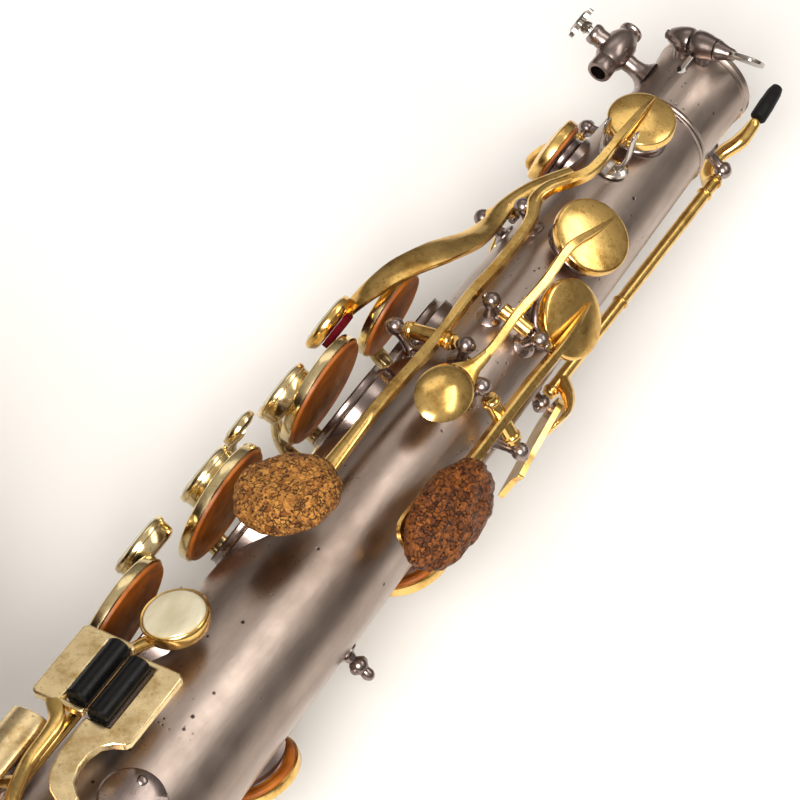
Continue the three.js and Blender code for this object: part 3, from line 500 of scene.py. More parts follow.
def granular_cork(name, light, dark, roughness):
    """Pressed cork: crumbs of several browns, dark pores between them and darker flecks."""
    surface = Surface(name, roughness=roughness)
    crooked = surface.rippled(520, 0.002)
    crumbs = surface.cells(640, output="Color", space=crooked)
    gaps = surface.cells(640, "DISTANCE_TO_EDGE", space=crooked)
    small = surface.noise(1300, 6, 0.75)
    middle = tuple((a + b) / 2 for a, b in zip(light, dark))
    tone = surface.ramp(crumbs, (0.08, dark), (0.4, middle), (0.9, light))
    mottled = surface.mix(surface.ramp(small, (0.45, 0.0), (0.66, 0.8)), tone, shade(dark, 0.42))
    edges = surface.ramp(gaps, (0.01, 1.0), (0.13, 0.0))
    broken = surface.ramp(surface.noise(420, 5), (0.42, 0.0), (0.58, 1.0))
    crack = surface.mix(1.0, edges, broken, "MULTIPLY")
    crack = surface.mix(1.0, crack, flecks(surface, 900, 0.4, 0.4), "LIGHTEN")
    surface.color(surface.mix(crack, mottled, shade(dark, 0.2)))
    surface.set("Specular IOR Level", 0.3)
    surface.bump(surface.inverse(crack), 0.0007, 0.9)
    surface.bump(small, 0.0006, 0.8)
    return surface.material


def pad_leather():
    surface = Surface("pad_leather")
    browns = ((0.3, (0.19, 0.042, 0.003)), (0.55, (0.38, 0.1, 0.007)), (0.8, (0.5, 0.16, 0.015)))
    surface.color(surface.ramp(surface.noise(110, 5), *browns))
    surface.roughness(surface.ramp(surface.noise(300, 4), (0.3, 0.38), (0.7, 0.6)))
    surface.bump(surface.cells(1400), 0.00012, 0.4)
    return surface.material


def nacre():
    surface = Surface("pearl", roughness=0.18)
    layers = surface.noise(120, 4, 0.5, surface.lengthwise(0.35))
    # Cream tones: the pearl's own creamy colour, kept darker to stand for the shade the pearls lie in, so
    # partly painted shade
    shaded_creams = ((0.3, (0.42, 0.37, 0.22)), (0.5, (0.55, 0.49, 0.34)), (0.72, (0.66, 0.62, 0.48)))
    surface.color(surface.ramp(layers, *shaded_creams))
    surface.set("Coat Weight", 0.5)
    surface.set("Subsurface Weight", 0.1)
    surface.set("Subsurface Radius", (0.002, 0.002, 0.0015))
    surface.bump(surface.noise(400, 3), 0.00003, 0.3)
    return surface.material


def dark_plastic(name, tone, gloss):
    surface = Surface(name)
    black = (tone, tone, tone)
    surface.color(surface.ramp(surface.noise(220, 5), (0.35, black), (0.75, shade(black, 2.2))))
    surface.roughness(surface.ramp(surface.noise(500, 4), (0.3, gloss), (0.7, gloss + 0.14)))
    surface.set("Specular IOR Level", 0.15)
    surface.bump(surface.noise(900, 3, 0.6, surface.lengthwise(0.1)), 0.00005, 0.4)
    return surface.material


def felt():
    surface = Surface("red_felt", roughness=0.95)
    fibres = surface.noise(1200, 5)
    surface.color(surface.ramp(fibres, (0.3, (0.05, 0.001, 0.003)), (0.7, (0.12, 0.003, 0.008))))
    surface.set("Specular IOR Level", 0.1)
    surface.bump(surface.noise(2500, 4), 0.0003, 0.6)
    return surface.material


SILVER = silver("silver_plate", (0.46, 0.375, 0.325), (0.3, 0.23, 0.19))
SMOOTH_SILVER = silver("silver_fittings", (0.36, 0.29, 0.265), (0.18, 0.135, 0.12), (0.2, 0.36), False)
# A lighter copy of the silver plate for the small edge-lit fittings (screw wing, lyre screw, palm F fork):
# painted highlight
HIGHLIGHT_SILVER = silver("silver_painted_highlight", (0.6, 0.55, 0.5), (0.38, 0.34, 0.3), (0.12, 0.24), False)
GOLD = brass("gold_plate", (0.88, 0.58, 0.19), (0.58, 0.32, 0.075))
PALE_GOLD = brass("pale_gold_plate", (0.84, 0.67, 0.36), (0.52, 0.37, 0.15), (0.12, 0.26))
CORK = granular_cork("cork_natural", (0.6, 0.27, 0.055), (0.22, 0.07, 0.01), 0.8)
DARK_CORK = granular_cork("cork_varnished", (0.34, 0.1, 0.012), (0.08, 0.018, 0.002), 0.36)
TABLE_GOLD = brass("gold_plate_rubbed", (0.9, 0.7, 0.38), (0.62, 0.42, 0.17), (0.2, 0.36))
LEATHER = pad_leather()
PEARL = nacre()
BLACK = dark_plastic("roller_black", 0.003, 0.2)
RUBBER = dark_plastic("rubber_black", 0.006, 0.45)
FELT = felt()

# ---- Pieces


def new_object(name, data):
    thing = bpy.data.objects.new(name, data)
    bpy.context.scene.collection.objects.link(thing)
    return thing


def solid_mesh(name, corners, faces):
    """A mesh whose faces all look outward."""
    mesh = bpy.data.meshes.new(name)
    mesh.from_pydata(corners, [], faces)
    work = bmesh.new()
    work.from_mesh(mesh)
    bmesh.ops.recalc_face_normals(work, faces=work.faces)
    work.to_mesh(mesh)
    work.free()
    return mesh


def piece(name, form, material, node=None, body=None, edge=0.0):
    """Makes a form into an object that rides on a body; it stands for the CAD node if one is named."""
    mesh = solid_mesh(name, [TO_ROW @ corner for corner in form.corners], form.faces)
    mesh.shade_smooth()
    mesh.set_sharp_from_angle(angle=math.radians(40))
    mesh.materials.append(material)
    thing = new_object(name, mesh)
    if edge:
        bevel = thing.modifiers.new("edge", "BEVEL")
        bevel.width = edge * MM
        bevel.segments = 3
        bevel.limit_method = "ANGLE"
        bevel.angle_limit = math.radians(35)
        bevel.harden_normals = True
    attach(thing, body or frame["nodes"][node]["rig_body"])
    if node:
        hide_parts(node)
    return thing


def fitting(name, form):
    """A silver fitting that is fixed to the instrument and stands for no CAD node."""
    piece(name, form, SMOOTH_SILVER, body="instrument")


def cut(form, cutter, name):
    """The form with the cutter taken away."""
    whole, tool = [
        new_object(name + label, solid_mesh(name + label, part.corners, part.faces))
        for part, label in ((form, "whole"), (cutter, "cutter"))
    ]
    boolean = whole.modifiers.new("cut", "BOOLEAN")
    boolean.operation = "DIFFERENCE"
    boolean.solver = "EXACT"
    boolean.use_self = True
    boolean.object = tool
    evaluated = whole.evaluated_get(bpy.context.evaluated_depsgraph_get())
    mesh = bpy.data.meshes.new_from_object(evaluated)
    corners = [corner.co.copy() for corner in mesh.vertices]
    result = Form(corners, [list(face.vertices) for face in mesh.polygons])
    for thing in (whole, tool):
        bpy.data.objects.remove(thing)
    return result


def post(place, along, foot=3.9):
    """A soldered post: round foot, waisted stem and a ball at the hinge's axis with a boss each side."""
    angle = math.degrees(math.atan2(place.x, place.z))
    surface = outer_radius(-place.y) - 0.3
    height = math.hypot(place.x, place.z) - surface
    profile = [(0, -0.5), (foot, -0.5), (foot, 0.5), (foot - 0.5, 0.9), (2.0, 1.5), (1.65, 2.6)]
    profile += [(1.5, max(height * 0.6, 2.8)), (1.7, max(height - 2.2, 3.0)), (0, max(height - 2, 3.2))]
    stem = turned(profile, frame_at(-place.y, angle, surface), 20)
    reach = along.normalized() * 2.95
    return stem + ball(place, POST_BALL, 20) + rod(place - reach, place + reach, 1.3, 16)


def posts_of(name, ends=(0, 1)):
    start, end = HINGES[name]
    along = (end - start).normalized()
    spots = [start - along * 3.8, end + along * 3.8]
    return together(post(spots[i], along) for i in ends)


def hinge_tube(name, radius=HINGE_TUBE, extra=()):
    """A key's hinge tube with a collar near each end and others at the given distances."""
    start, end = HINGES[name]
    length = (end - start).length
    body = rod(start, end, radius, 24)
    rings = [2.0, length - 2.0] if length > 14 else []
    return body + together(collar(start, end, where, radius + 0.45) for where in [*rings, *extra])


def cup(diameter):
    """A pad cup over a seat at height 0: rolled skirt, low dome."""
    r = diameter / 2
    profile = [(0, 1.9), (r - 1.3, 1.9), (r - 1.2, 1.3), (r - 0.5, 1.1), (r, 1.4), (r, 3.7), (r - 0.25, 4.1)]
    profile += [(r - 0.9, 4.35), (r - 2.2, 4.6), (r * 0.6, 5.1), (r * 0.3, 5.4), (0, 5.5)]
    return turned(profile, sides=56)


def pad(diameter):
    """A leather pad in a cup, pressed in a ring where the tone hole meets it."""
    r = diameter / 2
    seat = r - CHIMNEY_INSET
    profile = [(0, 0.75), (r * 0.34, 0.7), (seat - 1.4, 0.35), (seat - 0.6, 0.55), (seat + 0.2, 0.55)]
    profile += [(seat + 1.0, 0.12), (r - 1.7, 0.05), (r - 1.0, 0.3), (r - 0.7, 0.9), (r - 0.8, 1.7), (0, 1.7)]
    return turned(profile, sides=56)


def padded_cup(key, metal_form, metal, seat=None, opened=None):
    """A key's metal with its cup, then its pad on the same body."""
    node = key + "_key"
    place = seat_of(key) if seat is None else seat
    if opened:
        place = opened @ place
    diameter = CUP_SIZES[key]
    piece(key + "_metal", metal_form + cup(diameter).moved(place), metal, node)
    leather = piece(key + "_pad", pad(diameter).moved(place), LEATHER, body=frame["nodes"][node]["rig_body"])


def pearl_disc(place, radius):
    r = radius - 0.9
    profile = [(0, -0.4), (r, -0.4), (r + 0.1, 0.6), (r - 0.4, 1.5), (r - 1.4, 1.9)]
    profile += [(r * 0.5, 1.75), (0, 1.7)]
    return turned(profile, place, 48)


def pearl_cup(place, radius, depth=5.2):
    """The drum that holds a pearl, with a turned lip round it."""
    r = radius
    profile = [(0, -depth), (r - 2.2, -depth), (r - 1.2, -depth + 0.4), (r - 0.6, -depth + 1.1)]
    profile += [(r - 0.35, -0.9), (r, -0.6), (r + 0.1, 0.1), (r, 0.9), (r - 0.35, 1.25), (r - 0.8, 1.1)]
    profile += [(r - 0.85, -0.5), (0, -0.5)]
    return turned(profile, place, 48)


# ---- Hinges: the ends of each rod. Turning from start to end by the right-hand rule presses the key


def rising(x, z, top, bottom):
    return point(x, bottom, z), point(x, top, z)


def falling(x, z, top, bottom):
    return point(x, top, z), point(x, bottom, z)


def crossing(down, angle, height, length):
    middle = above(down, angle, height)
    half = sideways(angle) * (length / 2)
    return middle - half, middle + half


UPPER_ROD = (-19.2, -23.7)
LOWER_ROD = (-24.2, -29.9)
HINGES = {
    "palm_f": crossing(153, -38, 6.6, 17),
    "palm_eb": crossing(133, 1, 5.8, 10.5),
    "palm_d": crossing(161, 34, 6.8, 17),
    "front_f": crossing(95, -67, 6.5, 11),
    "octave": falling(22, -8, 21, 124),
    "octave_pip": crossing(166, 150, 6, 10),
    "side_e": falling(-19, -14, 37, 72),
    "side_c": rising(4, -28.2, 182, 206),
    "side_bb": rising(4.5, -31.4, 263, 293),
    "side_e_lever": falling(-11.1, -30.5, 80, 428),
    "side_c_lever": falling(-3.4, -32.3, 213, 462),
    "side_bb_lever": falling(4.5, -32.2, 302, 496),
    "c": rising(*UPPER_ROD, 128, 157),
    "b": rising(*UPPER_ROD, 158, 194),
    "bis": rising(*UPPER_ROD, 202, 209),
    "a": rising(*UPPER_ROD, 210, 244),
    "g": rising(*UPPER_ROD, 252, 297),
    "g_sharp": rising(-25.9, 20.3, 297, 347),
    "f_sharp": rising(*LOWER_ROD, 364, 409),
    "f": rising(*LOWER_ROD, 417, 461),
    "e": rising(*LOWER_ROD, 469, 520),
    "d": rising(*LOWER_ROD, 528, 574),
    "low_b": falling(-12.5, 34.3, 362, 600),
    "low_bb": falling(-21.2, 27.2, 373, 520),
    "low_c_sharp": falling(2.6, 37, 352, 652),
    "low_eb": rising(-14, -40, 577, 645),
    "low_c": rising(-27, -40.5, 592, 708),
}
POSTED = [
    "palm_f", "palm_eb", "palm_d", "front_f", "octave_pip", "side_e", "side_c", "side_bb",
    "side_e_lever", "side_c_lever", "side_bb_lever", "low_b", "low_bb", "low_c_sharp", "low_eb",
]
UPPER_POSTS = [124.8, 198, 248, 300.2]
LOWER_POSTS = [360.8, 413, 465, 524, 577.2]

# Where each pad closes: distance down, angle round the tube, cup diameter
PADS = {
    "palm_f": (45, -19, 21),
    "side_e": (58, -92, 22),
    "palm_eb": (92, 6, 24),
    "palm_d": (118, 31, 24),
    "c": (141, STACK, 29),
    "b": (176.5, STACK, 36),
    "side_c": (194, 130, 26),
    "a": (226.5, STACK, 38),
    "side_bb": (278, 130, 28),
    "g": (276, STACK, 40),
    "g_sharp": (338, -112, 34),
    "f_sharp": (386, STACK, 42),
    "f": (438, STACK, 43),
    "e": (493, STACK, 46),
    "d": (550, STACK, 48),
    "low_eb": (632, 160, 44),
    "low_c_sharp": (640, 48, 46),
}
BELL_PADS = {"low_b": (98, 56), "low_bb": (178, 60)}  # height up the bell, cup diameter
CUP_SIZES = {key: spot[-1] for key, spot in [*PADS.items(), *BELL_PADS.items()]}
CUP_SIZES["low_c"] = 50


def rod_at(name):
    start = HINGES[name][0]
    return start.x, start.z


def seat_of(name):
    down, angle, _ = PADS[name]
    return frame_above(down, angle, SEAT)


def cup_top(name, height):
    down, angle, _ = PADS[name]
    return above(down, angle, SEAT + height)


def chimney(diameter, top=CHIMNEY):
    """A drawn tone hole for a cup: a wall that flares into the tube, with a rounded lip."""
    r = diameter / 2 - CHIMNEY_INSET
    inner = r - 1.1
    profile = [(inner, -6), (r + 1.6, -6), (r + 1.6, 0.0), (r + 0.7, 0.25), (r + 0.15, 0.9), (r, 1.6)]
    profile += [(r, top - 0.5), (r + 0.25, top - 0.25), (r - 0.2, top), (inner, top - 0.2)]
    return turned(profile, sides=48, closed=True)


def hole(diameter, reach, place, sides=48):
    """A plug as wide as the tone hole under a cup, for cutting."""
    radius = diameter / 2 - HOLE_INSET
    return turned([(0, 5), (radius, 5), (radius, reach), (0, reach)], place, sides)


# ---- Tube, receiver, clamp and lyre holder

DOWNWARD = frame_along(Vector((0, 0, 0)), DOWN)


def tube_shell():
    outer = [(outer_radius(down), down) for down in (30.3, 120, 240, 360, 480, 600, TUBE_END - 0.3)]
    inner = [(radius - WALL, down) for radius, down in reversed(outer)]
    shell = turned(outer + inner, DOWNWARD, sides=120, closed=True)
    holes = together(
        hole(size, outer_radius(down) + 20, frame_at(down, angle, 0), 40)
        for down, angle, size in PADS.values()
    )
    return cut(shell, holes, "tube")


piece("tube", tube_shell(), SILVER, "body_tube")
fitting("tone_holes", together(
    chimney(size).moved(frame_above(down, angle, 0)) for down, angle, size in PADS.values()
))

posts = together(posts_of(name) for name in POSTED)
posts += posts_of("low_c", (1,)) + posts_of("octave", (1,)) + posts_of("g_sharp", (0,))
for (x, z), spots in ((UPPER_ROD, UPPER_POSTS), (LOWER_ROD, LOWER_POSTS)):
    for down in spots:
        posts += post(point(x, down, z), UP)
fitting("posts", posts)


def hugging(form, down, angle):
    """A form drawn flat over the tube at a place, bent to the tube's curve."""
    bent = []
    for corner in form.corners:
        radius = outer_radius(down - corner.y)
        bent.append(around(down - corner.y, angle + math.degrees(corner.x / radius), radius + corner.z))
    return Form(bent, form.faces)


SPARE_POST = point(26.7, 238.7, -4)
SPARE_ANGLE = 98
flange = turned([(0, -0.3), (10.2, -0.3), (10.2, 0.8), (9.6, 1.3), (6, 1.3), (3, 1.3), (0, 1.3)], sides=48)
rivet = turned([(0, 0), (1.5, 0), (1.5, 1.6), (1.1, 1.9), (0, 2)], frame_above(324.5, -2.3, 0), 24)
knob = turned([(0, 0), (1.7, 0), (1.9, 1.6), (1.5, 2.6), (0.9, 3.2), (0, 3.4)],
              frame_along(SPARE_POST + outward(SPARE_ANGLE) * 2.2, outward(SPARE_ANGLE)), 20)
fitting("tube_fittings", hugging(flange, 331, 2.6) + rivet + post(SPARE_POST, UP) + knob)

# A soldered ring where the tube meets the receiver
bead = [(16.05 + 0.6 * math.sin(math.pi * i / 8), 30.6 + 1.0 * i / 8) for i in range(9)]
bead += [(15.8, 31.6), (15.8, 30.6)]
piece("tube_bead", turned(bead, DOWNWARD, 96, closed=True), SILVER, body="instrument")

CLAMP_ANGLE = -31
CLAMP_DOWN = 5
CLAMP_MIDDLE = around(CLAMP_DOWN, CLAMP_ANGLE, 19.4)
CLAMP_LINE = sideways(CLAMP_ANGLE)


def receiver():
    profile = [(RECEIVER_BORE, 0.3), (13.3, 0), (15.5, 0), (15.85, 0.35), (15.85, 1.9), (15.3, 2.4)]
    profile += [(15.2, 3.2), (15.55, 3.7), (15.55, 4.3), (15.2, 4.8), (15.2, 27.8), (15.7, 28.2)]
    profile += [(16.2, 28.9), (16.3, 29.5), (16.0, 29.9), (RECEIVER_BORE, 29.9)]
    sleeve = turned(profile, DOWNWARD, 96, closed=True)
    slit = slab(oblong(1.6, 17), frame_at(CLAMP_DOWN, CLAMP_ANGLE, 14), -6, 12)
    keyhole = turned([(0, 0), (1.7, 0), (1.7, 12), (0, 12)], frame_at(13.5, CLAMP_ANGLE, 8), 20)
    return cut(sleeve, slit + keyhole, "receiver")


def clamp_barrels():
    """Two barrels with the slit between them; each is a turned bulb that stands on the receiver."""
    left = [(0, 0.5), (4.0, 0.5), (4.3, 1.2), (4.2, 3.0), (3.7, 5.0), (2.9, 6.8), (2.2, 8.0), (0, 8.0)]
    right = [(0, 0.5), (4.0, 0.5), (4.4, 1.2), (4.4, 3.2), (4.1, 5.0), (3.7, 6.6), (3.5, 8.0), (0, 8.0)]
    both = turned(left, frame_along(CLAMP_MIDDLE, -CLAMP_LINE), 32)
    both += turned(right, frame_along(CLAMP_MIDDLE, CLAMP_LINE), 32)
    for side in (-1, 1):
        foot = CLAMP_MIDDLE + CLAMP_LINE * (side * 3.6)
        path = [foot, foot - outward(CLAMP_ANGLE) * 2.6, foot - outward(CLAMP_ANGLE) * 5]
        both += swept(path, [(5, 6.2), (4.8, 6.6), (5.2, 8.5)], facing=UP, square=3, end=1)
    return both


piece("receiver", receiver(), SILVER, "neck_receiver")
fitting("clamp_barrels", clamp_barrels() + posts_of("octave", (0,)))


def clamp_stem():
    """The screw's tip beyond one barrel and its tapering neck beyond the other."""
    tip = rod(CLAMP_MIDDLE - CLAMP_LINE * 9.5, CLAMP_MIDDLE - CLAMP_LINE * 8.1, 1.5, 20)
    neck = [(0, 0), (3.3, 0), (3.3, 0.6), (2.9, 1.4), (2.2, 3.6), (1.9, 5.4), (1.5, 6.2), (0, 6.2)]
    return tip + turned(neck, frame_along(CLAMP_MIDDLE + CLAMP_LINE * 8.3, CLAMP_LINE), 32)


def clamp_wing():
    """The screw's flat thumb piece."""
    normal = Vector((0, -0.55, 0.84)).cross(CLAMP_LINE).normalized()
    across = normal.cross(CLAMP_LINE).normalized()
    wing = axes(CLAMP_LINE, across, CLAMP_LINE.cross(across), CLAMP_MIDDLE + CLAMP_LINE * 18)
    outline = [(-5.5, -1.8), (-2, -4.8), (4, -5.2), (6.3, -2), (6.3, 2), (4, 5.2), (-2, 4.8), (-5.5, 1.8)]
    return slab(rounded(outline, 2), wing, -0.75, 0.75)


piece("clamp_screw_stem", clamp_stem(), SMOOTH_SILVER, "clamp_screw")
piece("clamp_screw_wing", clamp_wing(), HIGHLIGHT_SILVER, body="clamp_screw", edge=0.45)

LYRE = point(-27, 15, 2)
LYRE_OUT = Vector((-1, 0, 0))
LYRE_SPIN = frame_along(LYRE, LYRE_OUT)


def lyre_holder():
    """A ball on a stem with a round socket through it and a boss for its screw."""
    body = [(2.6, -10), (3.3, -10), (3.7, -9.6), (3.7, -8.8), (3.3, -8.4), (3.3, -7.4), (3.8, -6.6)]
    body += [(4.9, -4), (5.3, 0), (4.9, 3.8), (4.1, 5.4), (3.7, 6), (3.9, 6.4), (3.9, 10.3), (3.6, 10.9)]
    body += [(2.6, 11)]
    form = turned(body, frame_along(LYRE, DOWN), 40, closed=True)
    stem = [(0, 0), (5.4, 0), (5.0, 0.5), (3.8, 1.4), (3.0, 2.8), (2.7, 5), (3.0, 8.5), (0, 8.5)]
    form += turned(stem, frame_along(point(-14.9, 15, 1.2), LYRE_OUT), 32)
    boss = [(0, 4), (3.2, 4), (3.0, 6.6), (3.4, 7.6), (3.4, 8.8), (2.9, 9.6), (0, 9.6)]
    return form + turned(boss, LYRE_SPIN, 32)


def milled_disc(place, radius, low, high, teeth=40):
    """A disc whose edge is cut into fine ridges."""
    outline = []
    for i in range(teeth * 2):
        turn = math.tau * i / (teeth * 2)
        reach = radius - (0.28 if i % 2 else 0)
        outline.append((reach * math.cos(turn), reach * math.sin(turn)))
    return slab(outline, place, low, high)


piece("lyre_holder_body", lyre_holder(), SMOOTH_SILVER, "lyre_holder")
lyre_stem = [(0, 9.9), (1.4, 9.9), (1.4, 10.6), (2.3, 11.0), (2.0, 12.2), (1.5, 13.0), (0, 13.0)]
lyre_screw = turned(lyre_stem, LYRE_SPIN, 24) + milled_disc(LYRE_SPIN, 5.4, 13.0, 14.4)
lyre_screw += turned([(0, 14.4), (4.6, 14.4), (3.9, 15.1), (0, 15.4)], LYRE_SPIN, 32)
piece("lyre_screw_head", lyre_screw, HIGHLIGHT_SILVER, "lyre_screw")

# ---- Bow and bell

LOW_C_PLACE = point(-BOW_SPAN / 2, TUBE_END + BOW_SPAN / 2, 0)
lean = math.radians(BELL_LEAN)
BELL_UP = Vector((-math.sin(lean), math.cos(lean), 0))
BELL_FRAME = frame_along(point(-BOW_SPAN, TUBE_END - BELL_SEAM, 0), BELL_UP)


def bow_middle(turn):
    """A point of the bow's centre line, at a turn from the tube's end."""
    half = BOW_SPAN / 2
    return point(-half + half * math.cos(turn), TUBE_END + half * math.sin(turn), 0)


def bow_shell():
    """Half a ring of tube, with the low C tone hole cut into its right side."""
    rings = []
    corners = []
    sides = 64
    steps = 40
    for radius, order in ((BOW_RADIUS, range(steps + 1)), (BOW_RADIUS - WALL, range(steps, -1, -1))):
        for step in order:
            turn = math.pi * step / steps
            middle = bow_middle(turn)
            across = Vector((math.cos(turn), -math.sin(turn), 0))
            first = len(corners)
            for i in range(sides):
                spin = math.tau * i / sides
                side = Vector((0, 0, radius * math.sin(spin)))
                corners.append(middle + across * (radius * math.cos(spin)) + side)
            rings.append(list(range(first, first + sides)))
    shell = Form(corners, skin(rings, closed=True))
    return cut(shell, hole(CUP_SIZES["low_c"], 60, frame_along(LOW_C_PLACE, RIGHT)), "bow")


def bell_radius(height):
    for low, high in zip(BELL_PROFILE, BELL_PROFILE[1:]):
        if low[0] <= height <= high[0]:
            return low[1] + (high[1] - low[1]) * (height - low[0]) / (high[0] - low[0])
    return BELL_PROFILE[-1][1]


def bell_hole(height, distance):
    """A frame on the player's left of the bell, at a distance from its axis."""
    centre = BELL_FRAME @ Vector((0, 0, height))
    centre.z += distance
    return frame_along(centre, LEFT)


def bell_shell():
    """The flare with its rolled rim, and the two tone holes on the player's left."""
    through = [Vector((radius, 0, height)) for height, radius in BELL_PROFILE]
    outer = [(spot.x, spot.z) for spot in curve(through, 5)]
    turns = [math.radians(degrees) for degrees in range(-80, 200, 20)]
    roll = [(75.8 + 1.1 * math.cos(turn), BELL_RIM_HEIGHT + 2.3 * math.sin(turn)) for turn in turns]
    inner = [(radius - WALL, height) for radius, height in reversed(outer)]
    shell = turned(outer + roll + inner, BELL_FRAME, 128, closed=True)
    holes = together(hole(size, 90, bell_hole(height, 0)) for height, size in BELL_PADS.values())
    return cut(shell, holes, "bell")


def low_c_post():
    """The post on the bow for the lower end of low C's rod."""
    middle = point(-27, 711.8, -40.5)
    foot = frame_along(point(-27, 711.8, -28.2), RIGHT)
    form = turned([(0, 0), (3.9, 0), (3.4, 1.2), (1.7, 2.4), (1.5, 12.5), (0, 12.6)], foot, 24)
    return form + (ball(middle, POST_BALL) + rod(middle + DOWN * 3.1, middle + UP * 3.1, 1.5))


piece("bow_tube", bow_shell(), SILVER, "bow")
chimneys = chimney(CUP_SIZES["low_c"]).moved(frame_along(LOW_C_PLACE + RIGHT * BOW_RADIUS, RIGHT))
chimneys += together(
    chimney(size, CHIMNEY + BELL_LIFT).moved(bell_hole(height, bell_radius(height)))
    for height, size in BELL_PADS.values()
)
fitting("bow_and_bell_holes", chimneys + low_c_post())
piece("bell_flare", bell_shell(), SILVER, "bell")


def ferrule(place):
    """A band with a bead at each edge."""
    r = BOW_RADIUS + 0.9
    profile = [(r, -4), (r + 1.3, -4), (r + 1.6, -3.4), (r + 1.3, -2.6), (r + 0.9, -2.2), (r + 0.9, 8.2)]
    profile += [(r + 1.3, 8.6), (r + 1.6, 9.4), (r + 1.3, 10), (r, 10)]
    return turned(profile, place, 96, closed=True)


def bell_brace():
    down = 556
    angle = -43
    height = TUBE_END - BELL_SEAM - down
    side = bell_radius(height) + 1.4
    bell_centre = BELL_FRAME @ Vector((0, 0, height))
    tube_foot = slab(oblong(7, 16, 3), frame_above(down, angle, 1.2), 0, 1.6)
    bell_foot = slab(oblong(16, 7, 3), frame_along(bell_centre + outward(45) * side, outward(45)), 0, 1.6)
    near, far = points((-38, down, 31), (-66, down, 32))
    path = [above(down, angle, 2), near, far, bell_centre + outward(45) * (side + 1.2)]
    bar = swept(path, [(7, 6), (5, 5), (5, 5), (7, 6)], facing=UP, square=2, steps=12)
    return tube_foot + bell_foot + bar + ball(near.lerp(far, 0.5) + LEFT * 0.6, 3.3)


tube_joint = frame_along(point(0, TUBE_END, 0), UP)
piece("body_ferrule", ferrule(tube_joint), SMOOTH_SILVER, "bow_ferrule_body")
piece("bell_ferrule", ferrule(BELL_FRAME), SMOOTH_SILVER, "bow_ferrule_bell")
piece("brace", bell_brace(), SMOOTH_SILVER, "bell_brace", edge=0.3)

# ---- Small fixed pieces


def thumb_rest():
    profile = [(0, 0), (6.6, 0), (7.3, 1.0), (7.5, 2.4), (7.1, 3.8), (6.0, 4.8), (4.0, 5.4)]
    profile += [(2.0, 5.2), (0, 5.1)]
    return turned(profile, frame_above(178, 92, 1.1), 40)


def thumb_hook():
    base = slab(oblong(9, 26, 3.5), frame_above(448, 112, 0.9), 0, 1.6)
    path = over_tube((446, 112, 2), (440, 110, 12), (446, 106, 22), (458, 103, 25.4))
    return base + swept(path, [(6, 5.6), (5.6, 5), (8, 4), (9, 3)], outward(110), square=2.6, steps=10)


def strap_ring():
    centre = above(332, 92, 9.5)
    turns = [math.tau * i / 16 for i in range(16)]
    loop = [(6.1 + 1.5 * math.cos(turn), 1.4 * math.sin(turn)) for turn in turns]
    ring = turned(loop, frame_along(centre, UP), 48, closed=True)
    return ring + slab(oblong(7, 16, 3), frame_above(332, 92, 0.7), 0, 2)


def palm_f_guide():
    """Two flat fingers that rise from one foot on either side of the palm F lever."""
    angle = -19
    surface = outer_radius(60) + 0.3
    foot = turned([(0, 0), (5.4, 0), (5.2, 0.8), (4.4, 1.3), (0, 1.5)],
                  frame_at(62, angle, surface + 0.3) @ Matrix.Diagonal((1, 0.8, 1, 1)), 32)
    place = frame_at(60, angle, surface)
    finger = [(1.6, -2.5, 1.0), (3.2, -1.5, 3.2), (4.3, -0.6, 6.5), (4.5, 0.2, 10.5), (4.7, 0.8, 14)]
    finger.append((5.0, 1.3, 16.2))
    sizes = [(4.4, 2.2), (3.8, 1.7), (3.8, 1.5), (4.4, 1.4), (5.0, 1.3), (3.4, 0.9)]
    for side in (-1, 1):
        path = [place @ Vector((side * across, back, height)) for across, back, height in finger]
        foot += swept(path, sizes, facing=sideways(angle))
    return foot


def guard(path, width, steps, facing=UP):
    """A bent round wire."""
    return swept(path, (width, width), facing=facing, square=2, steps=steps, end=0.9)


def low_key_guard():
    legs = [bow_middle(math.radians(degrees)) for degrees in (35, 145)]
    near, far = legs
    root = -BOW_RADIUS - 1.3
    near_bend, far_bend = near.lerp(LOW_C_PLACE, 0.35), far.lerp(LOW_C_PLACE, 0.35)
    levels = [(near, root), (near, -55), (near_bend, -61.4), (LOW_C_PLACE, -62.3)]
    levels += [(far_bend, -61.4), (far, -55), (far, root)]
    form = guard([Vector((spot.x, spot.y, z)) for spot, z in levels], 5, 10)
    for leg in legs:
        place = frame_along(Vector((leg.x, leg.y, -BOW_RADIUS - 0.3)), RIGHT)
        form += turned([(0, 0), (6, 0), (5.8, 1), (4.2, 1.9), (2.6, 3), (0, 3.2)], place, 36)
    bumper = [(0, -2.2), (5, -2.2), (5.4, -1.6), (5.4, 1.6), (4.8, 2.2), (0, 2.2)]
    return form + turned(bumper, frame_along(LOW_C_PLACE + RIGHT * 61.8, LEFT), 36)


def bell_key_guard():
    def at(height, z):
        return BELL_FRAME @ Vector((0, 0, height)) + LEFT * z

    low, high = BELL_PADS["low_b"][0] - 42, BELL_PADS["low_bb"][0] + 44
    top = bell_radius(BELL_PADS["low_bb"][0]) + 34
    path = [at(low, bell_radius(low) + 2.7), at(low + 3, top - 8), at(low + 24, top)]
    path += [at(high - 24, top), at(high - 3, top - 8), at(high, bell_radius(high) + 2.7)]
    form = guard(path, 4.6, 14, facing=Vector((1, 0, 0)))
    foot = [(0, 0), (6, 0), (5.8, 0.9), (4.2, 1.7), (2.4, 2.8), (0, 3)]
    bumper = [(0, -3.2), (5.4, -3.2), (5.8, -2.4), (5.8, 0.6), (4.6, 2.3), (0, 2.3)]
    for height in (low, high):
        form += turned(foot, frame_along(at(height, bell_radius(height) + 1.9), LEFT), 36)
    for height in (low + 42, high - 44):
        form += turned(bumper, frame_along(at(height, top), LEFT), 36)
    return form


